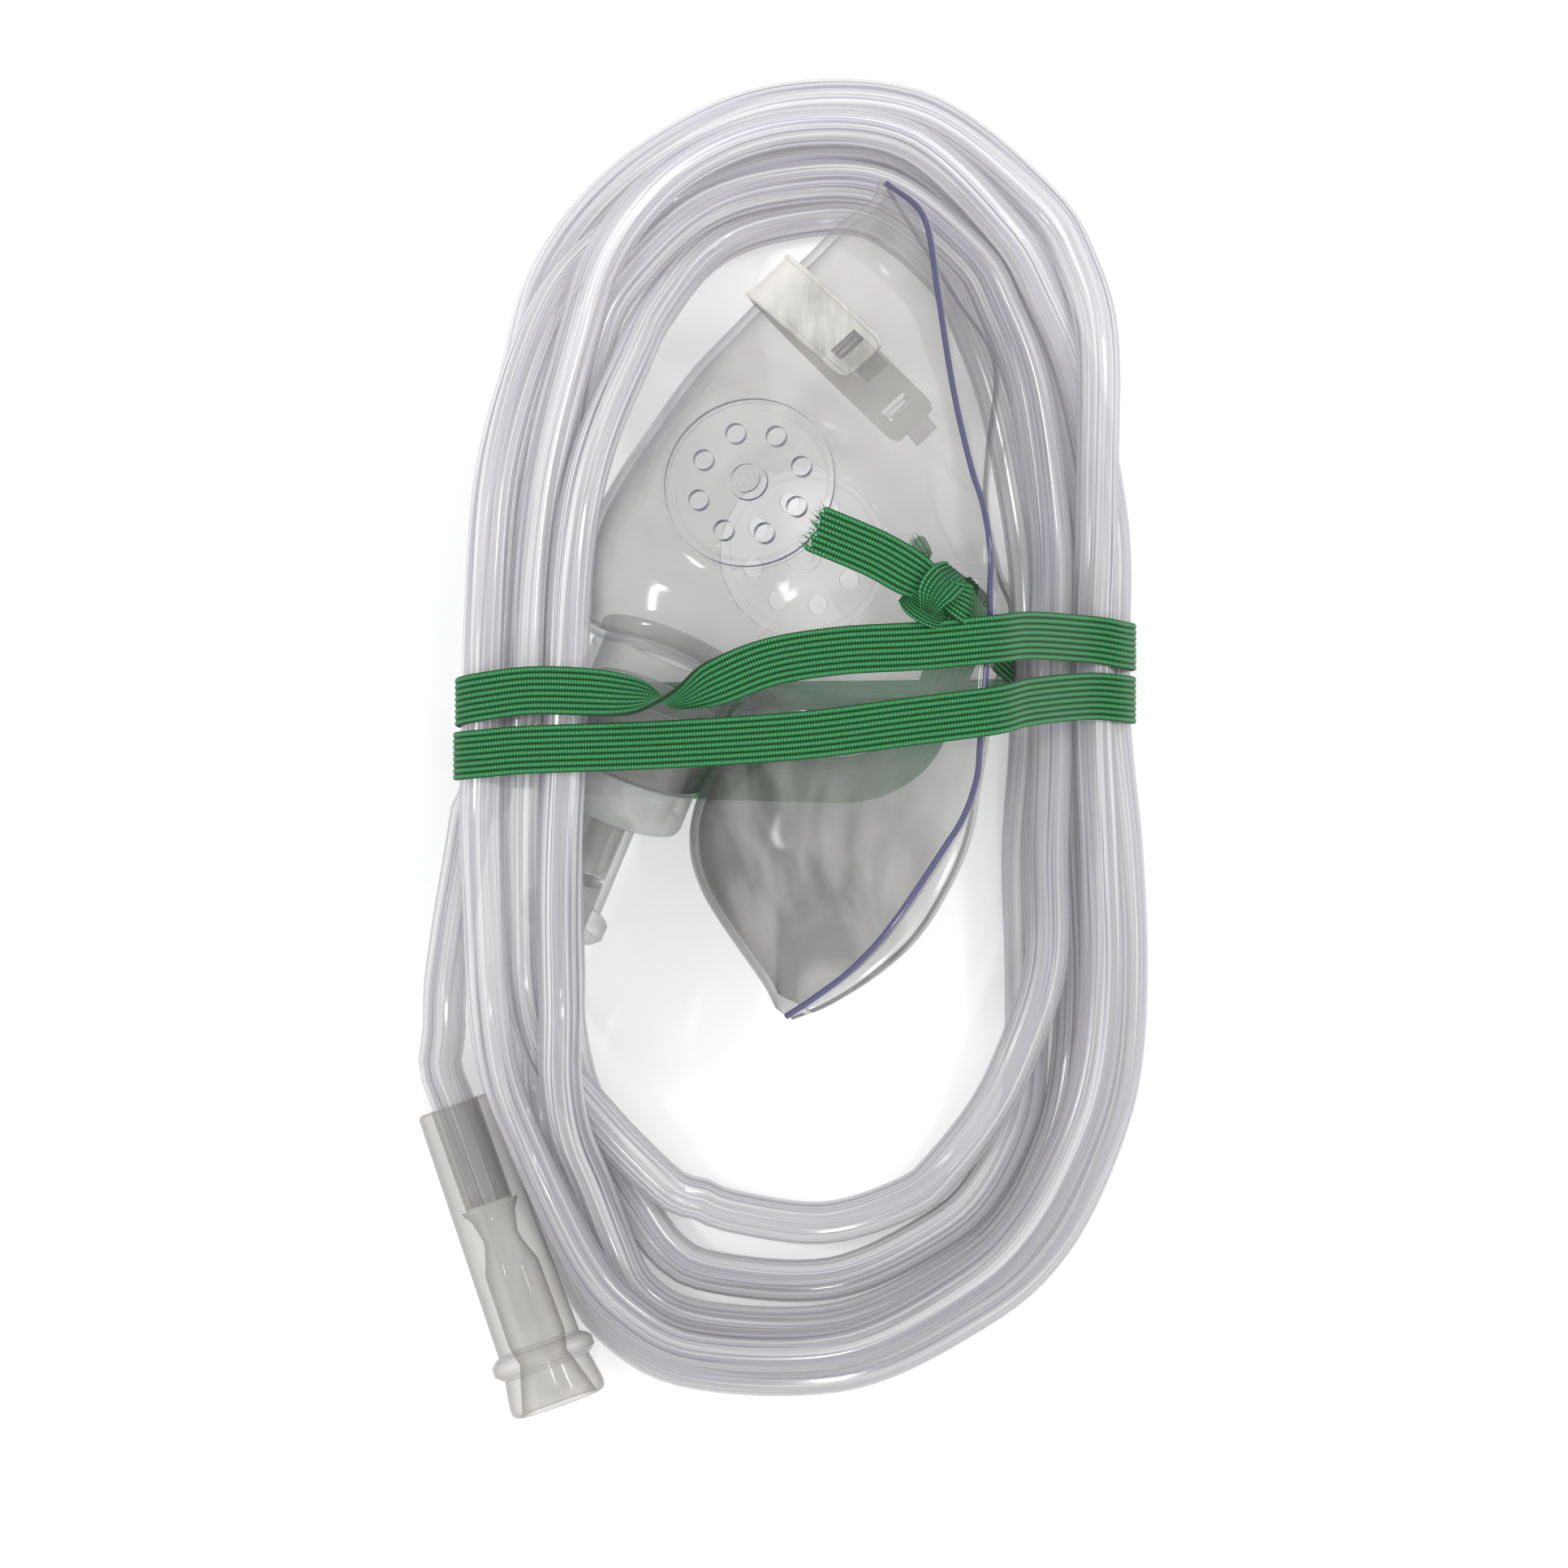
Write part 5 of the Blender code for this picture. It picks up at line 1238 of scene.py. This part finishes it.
supply = revolve("supply", supply_profile, supply_place)
supply_vinyl = clear_vinyl(
    "supply_vinyl", (0.30, 0.275, 0.225), (0.17, 0.155, 0.19), (0.17, 0.94), 0.05, 130.0, 0.7
)
coat(supply, supply_vinyl)
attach(supply, "root")
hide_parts("supply_connector")


# Head strap. One flat green elastic, eight covered rubber cores woven side by side. It is knotted
# behind each ear tab and wound twice round the mask and the coil.
STRAP_WIDTH = 0.0070
STRAP_THICKNESS = 0.0009
STRAP_RIBS = 8
STRAP_RIB_DEPTH = 0.00024
STRAP_STEP = 0.0011
POINTS_ON_RIB = 6
STRAP_SMOOTHING = 16
LAY_ROUNDS = 30
# Cut end, knot, ear slot, then the two turns and the far knot: place in tenths of a millimetre,
# then the way of the width in hundredths
STRAP_ROUTE = (
    (32, 95, 452, 40, 92, 0), (110, 62, 452, 40, 92, 0), (160, 34, 453, 38, 93, 0),
    (185, 20, 454, 30, 95, 0), (210, 7, 456, 15, 99, 0), (228, -3, 455, 5, 100, 0),
    (242, -11, 446, 0, 100, 0), (248, -16, 425, 0, 100, 0), (250, -20, 395, 0, 100, 0),
    (262, -38, 300, 0, 100, 0), (290, -68, 200, 0, 100, 0), (318, -90, 130, 0, 100, 0),
    (325, -98, 78, 0, 100, 0), (330, -100, 36, 0, 100, 0), (366, -92, 18, 0, 100, 0),
    (430, -78, 18, 0, 100, 0), (478, -70, 36, 0, 100, 0), (494, -68, 88, 0, 100, 0),
    (476, -65, 142, 0, 100, 0), (428, -58, 184, 0, 100, 0), (340, -55, 345, 0, 100, 0),
    (282, -62, 440, 0, 100, 0), (180, -72, 448, 0, 100, 0), (60, -79, 444, 0, 100, 0),
    (-40, -95, 434, 0, 100, 0), (-120, -125, 426, 0, 93, 36), (-180, -150, 424, 0, 30, 95),
    (-240, -145, 418, 0, -75, 66), (-310, -138, 406, 0, -98, 20), (-390, -136, 398, 0, -100, 0),
    (-452, -144, 388, 0, -100, 0), (-489, -152, 350, 0, -100, 0), (-488, -155, 280, 0, -100, 0),
    (-458, -157, 205, 0, -100, 0), (-385, -157, 110, 0, -100, 0), (-290, -156, 38, 0, -100, 0),
    (-190, -154, 6, 0, -100, 0), (60, -152, 5, 0, -100, 0), (280, -150, 5, 0, -100, 0),
    (430, -148, 8, 0, -100, 0), (482, -147, 34, 0, -100, 0), (494, -147, 88, 0, -100, 0),
    (480, -145, 144, 0, -100, 0), (430, -142, 186, 0, -100, 0), (340, -152, 345, 0, -100, 0),
    (282, -166, 438, 0, -100, 0), (160, -182, 444, 0, -100, 0), (0, -202, 434, 0, -100, 0),
    (-200, -215, 416, 0, -100, 0), (-390, -222, 400, 0, -100, 0), (-452, -227, 390, 0, -100, 0),
    (-491, -231, 348, 0, -100, 0), (-490, -234, 280, 0, -100, 0), (-460, -239, 205, 0, -100, 0),
    (-390, -245, 110, 0, -100, 0), (-300, -252, 38, 0, -100, 0), (-190, -258, 6, 0, -100, 0),
    (0, -264, 5, 0, -100, 0), (100, -262, 5, 12, -99, 0), (170, -222, 8, 66, -75, 0),
    (205, -150, 12, 88, -48, 0), (228, -95, 16, 85, -52, 0), (250, -52, 20, 70, -71, 0),
    (271, -35, 22, 45, -89, 0), (282, -29, 36, 12, -99, 0), (283, -27, 62, 0, -100, 0),
    (282, -26, 84, 0, -100, 0), (272, -20, 104, 0, -100, 0), (248, -6, 114, 10, -99, 0),
    (222, 13, 114, 35, -94, 0), (196, 36, 111, 60, -80, 0), (166, 72, 109, 70, -72, 0),
)
ROUTE_UNITS = (TENTHS, TENTHS, TENTHS, 100, 100, 100)
# How far each core's cut end stands out, and over what length the end is ragged
CUT_ENDS = (0.9, 0.2, 0.7, 0.1, 0.6, 0.3, 0.8, 0.5)
CUT_REACH_OUT = 0.0009
CUT_LENGTH = 0.0030
YARN_STANDOUT = 0.0005
RIB_ROUNDNESS = 0.8


def ribbon(name, rows, ribs, thickness, ragged):
    """A closed ribbed band along rows of place, width direction and width, with UVs along and across."""
    rows = np.array(rows)
    places = rows[:, :3]
    heading = headings(places)
    wide = rows[:, 3:6] - heading * np.sum(rows[:, 3:6] * heading, axis=1)[:, None]
    wide /= np.linalg.norm(wide, axis=1)[:, None]
    up = np.cross(heading, wide)
    lengths = path_lengths(places)
    shares = np.linspace(0.0, 1.0, ribs * POINTS_ON_RIB + 1)
    crest = np.abs(np.sin(math.pi * ribs * shares)) ** RIB_ROUNDNESS
    lift = thickness / 2 - STRAP_RIB_DEPTH * (1 - crest)
    across = np.concatenate((2 * shares - 1, 1 - 2 * shares))
    height = np.concatenate((lift, -lift[::-1]))
    share_ring = np.concatenate((shares, shares[::-1]))
    size = len(across)
    points = places[:, None, :] + wide[:, None, :] * (across[None, :, None] * rows[:, 6][:, None, None] / 2)
    points = points + up[:, None, :] * height[None, :, None]
    if ragged:
        core = np.minimum((share_ring * ribs).astype(int), ribs - 1)
        yarn_tips = np.abs(np.sin(math.pi * ribs * share_ring)) * YARN_STANDOUT
        tips = np.array(CUT_ENDS)[core] * CUT_REACH_OUT + yarn_tips
        for end, way in ((0, -1.0), (-1, 1.0)):
            away = np.abs(lengths - lengths[end])
            fade = np.clip(1 - away / CUT_LENGTH, 0.0, 1.0)
            points = points + heading[:, None, :] * (way * fade[:, None] * tips[None, :])[:, :, None]
    count = len(rows)
    ring = np.arange(size)
    after = (ring + 1) % size
    low_ring = (np.arange(count - 1) * size)[:, None]
    high_ring = low_ring + size
    faces = np.stack((low_ring + ring, low_ring + after, high_ring + after, high_ring + ring), axis=2)
    data = bpy.data.meshes.new(name)
    face_list = faces.reshape(-1, 4).tolist()
    caps = [list(range(size))[::-1], list(range((count - 1) * size, count * size))]
    data.from_pydata(points.reshape(-1, 3).tolist(), [], face_list + caps)
    uv = data.uv_layers.new(name="UVMap")
    row_ends = [np.repeat(ends[:, None], size, axis=1) for ends in (lengths[:-1], lengths[1:])]
    corner_u = np.stack((row_ends[0], row_ends[0], row_ends[1], row_ends[1]), axis=2)
    ring_v = np.stack([share_ring, share_ring[after], share_ring[after], share_ring], axis=1)
    corner_v = np.repeat(ring_v[None, :, :], count - 1, axis=0)
    corners = np.stack((corner_u, corner_v), axis=3).reshape(-1)
    cap_corners = np.zeros(4 * size)
    uv.data.foreach_set("uv", np.concatenate((corners, cap_corners)).astype(np.float32))
    data.shade_smooth()
    data.set_sharp_from_angle(angle=math.radians(75.0))
    return placed(name, data)


route_rows = smooth_rows(np.array(STRAP_ROUTE) / ROUTE_UNITS, STRAP_SMOOTHING)
strap_lengths = path_lengths(route_rows[:, :3])
strap_places = np.linspace(0.0, strap_lengths[-1], int(strap_lengths[-1] / STRAP_STEP) + 1)
strap_line = np.stack([np.interp(strap_places, strap_lengths, route_rows[:, k]) for k in range(6)], axis=1)


def lay_over_tubing(line, tube_line, clear):
    """Moves a band out where a strand of the tubing would come through it."""
    strands = KDTree(len(tube_line))
    for i, place in enumerate(tube_line):
        strands.insert(place, i)
    strands.balance()
    shift = np.zeros((len(line), 3))
    for turn in range(LAY_ROUNDS):
        push = np.zeros_like(shift)
        for i, row in enumerate(line):
            for share in (-0.5, 0.0, 0.5):
                spot = Vector(row[:3] + shift[i] + row[3:6] * (share * STRAP_WIDTH))
                near, _, far = strands.find(spot)
                if far < clear:
                    away = np.array((spot - near).normalized() * (clear - far))
                    push[i] = away if np.linalg.norm(away) > np.linalg.norm(push[i]) else push[i]
        shift += push * 0.5
        shift[1:-1] = (shift[:-2] + 2 * shift[1:-1] + shift[2:]) / 4
    return shift


strap_line[:, :3] += lay_over_tubing(strap_line, route, TUBE_DIAMETER / 2 + STRAP_THICKNESS / 2)
# The band is pulled narrow where it goes through each knot
KNOT_FROM_END = (0.0200, 0.0190)
KNOT_REACH = 0.0034
KNOT_PULL = 0.42
band_width = np.full(len(strap_line), STRAP_WIDTH)
for middle, away in zip(KNOT_FROM_END, (strap_places, strap_places[-1] - strap_places)):
    band_width *= 1 - KNOT_PULL * np.exp(-(((away - middle) / KNOT_REACH) ** 2))
strap_line = np.column_stack((strap_line, band_width))
strap = ribbon("strap", strap_line, STRAP_RIBS, STRAP_THICKNESS, True)

# The wraps of the near and far knots: place and way of the width as in the route, then the width
NEAR_WRAPS = (
    (
        (228, 31, 432, 76, -65, 0, 50), (217, 25, 452, 76, -65, 0, 56), (206, 15, 468, 78, -63, 0, 58),
        (197, 3, 474, 84, -54, 0, 53), (192, -9, 472, 89, -46, 0, 38), (189, -19, 464, 91, -42, 0, 24),
        (189, -25, 450, 91, -42, 0, 18),
    ),
    (
        (154, 1, 446, 45, 89, 0, 24), (164, -9, 455, 48, 87, 0, 34), (179, -20, 460, 45, 89, 0, 37),
        (196, -29, 456, 40, 91, 0, 35), (212, -33, 446, 30, 95, 0, 32),
    ),
)
WRAP_UNITS = (*ROUTE_UNITS, TENTHS)
WRAP_RIBS = 7
WRAP_THICKNESS = 0.0011
WRAP_SMOOTHING = 8
# The far knot is the same knot turned over, with its height counted down from the mask's middle
FAR_KNOT = Vector((0.0248, -0.0006, 0.0114))
NEAR_KNOT = Vector((0.0207, 0.0009, 0.0456))
wrap_rows = [np.array(rows) / WRAP_UNITS for rows in NEAR_WRAPS]
for rows in wrap_rows[:]:
    turned = rows.copy()
    turned[:, 0] = FAR_KNOT.x + rows[:, 0] - NEAR_KNOT.x
    turned[:, 1] = FAR_KNOT.y + rows[:, 1] - NEAR_KNOT.y
    turned[:, 2] = FAR_KNOT.z - (rows[:, 2] - NEAR_KNOT.z)
    wrap_rows.append(turned)
wraps = [
    ribbon("wrap", smooth_rows(rows, WRAP_SMOOTHING), WRAP_RIBS, WRAP_THICKNESS, False)
    for rows in wrap_rows
]
joined(strap, wraps)

STRAP_DARK = (0.0, 0.030, 0.007)
STRAP_GREEN = (0.003, 0.140, 0.030)
STRAP_MIDDLE = (0.008, 0.205, 0.048)
STRAP_LIGHT = (0.11, 0.46, 0.18)
# The greens follow the weave's height: the valleys between the ribs are darkened with painted shade, and the
# tops of the crests are lightened with a painted highlight
STRAP_GREENS = ((0.22, STRAP_DARK), (0.38, STRAP_GREEN), (0.66, STRAP_MIDDLE), (0.90, STRAP_LIGHT))
BEAD_PITCH = 0.00042
BEAD_JITTER = 3.0
BEAD_WAVE, BEAD_LEVEL = 0.22, 0.66
# The low parts of the band, which lie on the floor in shade under the mask, are painted a lighter green
LOW_BAND_HEIGHTS, LOW_BAND_SHARES = (0.0032, 0.0014), (0.0, 0.6)
PAINTED_LIGHT_GREEN = (0.14, 0.62, 0.30)
elastic, tree, shader = new_material("strap_elastic", Roughness=0.75, Sheen_Weight=0.08)
way = uv_parts(tree)
place = object_place(tree)
crest = calc(tree, "ABSOLUTE", calc(tree, "SINE", calc(tree, "MULTIPLY", way["Y"], math.pi * STRAP_RIBS)))
jitter = calc(tree, "MULTIPLY", noise(tree, place, Scale=900.0, Detail=2.0), BEAD_JITTER)
bead_turn = calc(tree, "MULTIPLY_ADD", way["X"], 2 * math.pi / BEAD_PITCH, jitter)
bead_up = calc(tree, "MULTIPLY_ADD", calc(tree, "SINE", bead_turn), BEAD_WAVE, BEAD_LEVEL)
weave = calc(tree, "MULTIPLY", crest, bead_up)
# Painted light on the low parts of the band
back = mapped(tree, node(tree, "ShaderNodeSeparateXYZ", place).outputs["Z"], LOW_BAND_HEIGHTS, LOW_BAND_SHARES)
green = mixed(tree, back, ramp(tree, weave, STRAP_GREENS), PAINTED_LIGHT_GREEN)
feed(shader, Base_Color=green, Normal=bumped(tree, weave, 0.8, 0.00012))
coat(strap, elastic)
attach(strap, "root")
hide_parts("head_strap")


# Yarn ends. The cover yarns of the elastic fray where it was cut, a few short threads to each core.
THREADS = 34
THREAD_LENGTH = 0.0016
THREAD_RADIUS = 0.00009
THREAD_SPREAD = 0.48
THREAD_LEAN = (0.55, 0.45)
THREAD_TURN = 6.2
THREAD_SIZES = (0.45, 1.15)
THREAD_SIDES = 6
THREAD_STANDOFF = 0.0008
# Each cut end's row of the strap, the row before it and its seed
THREAD_ROWS = ((0, 1, 3), (-1, -2, 8))
thread_green, tree, shader = new_material("thread_green", Roughness=0.8)
twist = noise(tree, object_place(tree), Scale=1500.0, Detail=1.0)
feed(shader, Base_Color=ramp(tree, twist, ((0.35, STRAP_DARK), (0.50, STRAP_GREEN), (0.65, STRAP_LIGHT))))

yarn_values = {
    "Threads": THREADS,
    "Band width": STRAP_WIDTH,
    "Thread length": THREAD_LENGTH,
    "Thread radius": THREAD_RADIUS,
    "Seed": 1,
}
yarn_tree, yarn_in, yarn_identifiers = new_group("yarn_ends", yarn_values)
yarn_spans = (-THREAD_SPREAD, THREAD_SPREAD)
yarn_sides = [calc(yarn_tree, "MULTIPLY", yarn_in["Band width"], span) for span in yarn_spans]
yarn_spots = [node(yarn_tree, "ShaderNodeCombineXYZ", X=side) for side in yarn_sides]
yarn_start, yarn_end = (spot.outputs["Vector"] for spot in yarn_spots)
yarn_line = node(
    yarn_tree,
    "GeometryNodeMeshLine",
    mode="END_POINTS",
    Count=yarn_in["Threads"],
    Start_Location=yarn_start,
    Offset=yarn_end,
)
yarn_cone = node(
    yarn_tree,
    "GeometryNodeMeshCone",
    Vertices=THREAD_SIDES,
    Side_Segments=2,
    Depth=yarn_in["Thread length"],
    Radius_Bottom=yarn_in["Thread radius"],
)
yarn_lean = node(
    yarn_tree,
    "FunctionNodeRandomValue",
    data_type="FLOAT_VECTOR",
    Min=(-THREAD_LEAN[0], -THREAD_LEAN[1], 0.0),
    Max=(*THREAD_LEAN, THREAD_TURN),
    Seed=yarn_in["Seed"],
)
yarn_size = node(
    yarn_tree,
    "FunctionNodeRandomValue",
    data_type="FLOAT",
    Min=THREAD_SIZES[0],
    Max=THREAD_SIZES[1],
    Seed=yarn_in["Seed"],
)
repeat_on(
    yarn_tree,
    yarn_line.outputs["Mesh"],
    yarn_cone.outputs["Mesh"],
    thread_green,
    Rotation=yarn_lean.outputs["Value"],
    Scale=yarn_size.outputs["Value"],
)
yarn_ends = []
for end, inner, seed in THREAD_ROWS:
    outward = Vector(strap_line[end][:3] - strap_line[inner][:3]).normalized()
    origin = Vector(strap_line[end][:3]) + outward * THREAD_STANDOFF
    piece = made_by(yarn_tree, yarn_identifiers, {**yarn_values, "Seed": seed}, "yarn_end")
    piece.data.transform(frame_at(origin, outward, Vector(strap_line[end][3:6])))
    yarn_ends.append(piece)
strap_threads = yarn_ends[0]
strap_threads.name = "strap_threads"
joined(strap_threads, yarn_ends[1:])
coat(strap_threads, thread_green)
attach(strap_threads, "root")


# Floor, lamps and backdrop. A seamless white sheet under an even white sky, with three small soft
# lamps that give the clear plastic its highlights.
FLOOR_REACH = 3
FLOOR_LIFT = 0.28
SKY_LEVEL = 0.85
SKY_LIFT_SEEN = 0.25
LAMPS_AIM = Vector((0, -0.02, 0.02))
floor_mesh = bpy.data.meshes.new("floor")
floor_corners = [(x * FLOOR_REACH, y * FLOOR_REACH, 0) for x, y in ((-1, -1), (1, -1), (1, 1), (-1, 1))]
floor_mesh.from_pydata(floor_corners, [], [(0, 1, 2, 3)])
floor = placed("floor", floor_mesh)
floor_paper, tree, shader = new_material(
    "floor_paper", Base_Color=(0.9, 0.9, 0.9, 1.0), Roughness=0.9, Emission_Color=(1.0, 1.0, 1.0, 1.0)
)
# The sheet reads as pure white where it is looked at, and keeps the soft shadow of the pack
ray = node(tree, "ShaderNodeLightPath").outputs
seen = calc(tree, "MAXIMUM", ray["Is Camera Ray"], ray["Is Glossy Ray"])
seen = calc(tree, "MAXIMUM", seen, ray["Is Transmission Ray"])
feed(shader, Emission_Strength=calc(tree, "MULTIPLY", seen, FLOOR_LIFT))
coat(floor, floor_paper)

world = bpy.data.worlds.new("studio")
world.use_nodes = True
sky_ray = node(world.node_tree, "ShaderNodeLightPath").outputs["Is Camera Ray"]
sky_level = calc(world.node_tree, "MULTIPLY_ADD", sky_ray, SKY_LIFT_SEEN, SKY_LEVEL)
feed(world.node_tree.nodes["Background"], Color=(1.0, 1.0, 1.0, 1.0), Strength=sky_level)
bpy.context.scene.world = world

for name, place, size, power in (
    ("lamp_left", (-0.75, 0.05, 0.95), (0.22, 0.03), 2.6),
    ("lamp_right", (0.62, 0.35, 0.85), (0.24, 0.04), 2.4),
    ("lamp_front", (0.10, -0.85, 0.80), (0.10, 0.10), 1.6),
):
    lamp_data = bpy.data.lights.new(name, "AREA")
    lamp_data.shape = "RECTANGLE"
    lamp_data.size, lamp_data.size_y = size
    lamp_data.energy = power
    lamp = placed(name, lamp_data)
    lamp.location = place
    lamp.rotation_euler = (LAMPS_AIM - Vector(place)).to_track_quat("-Z", "Y").to_euler()
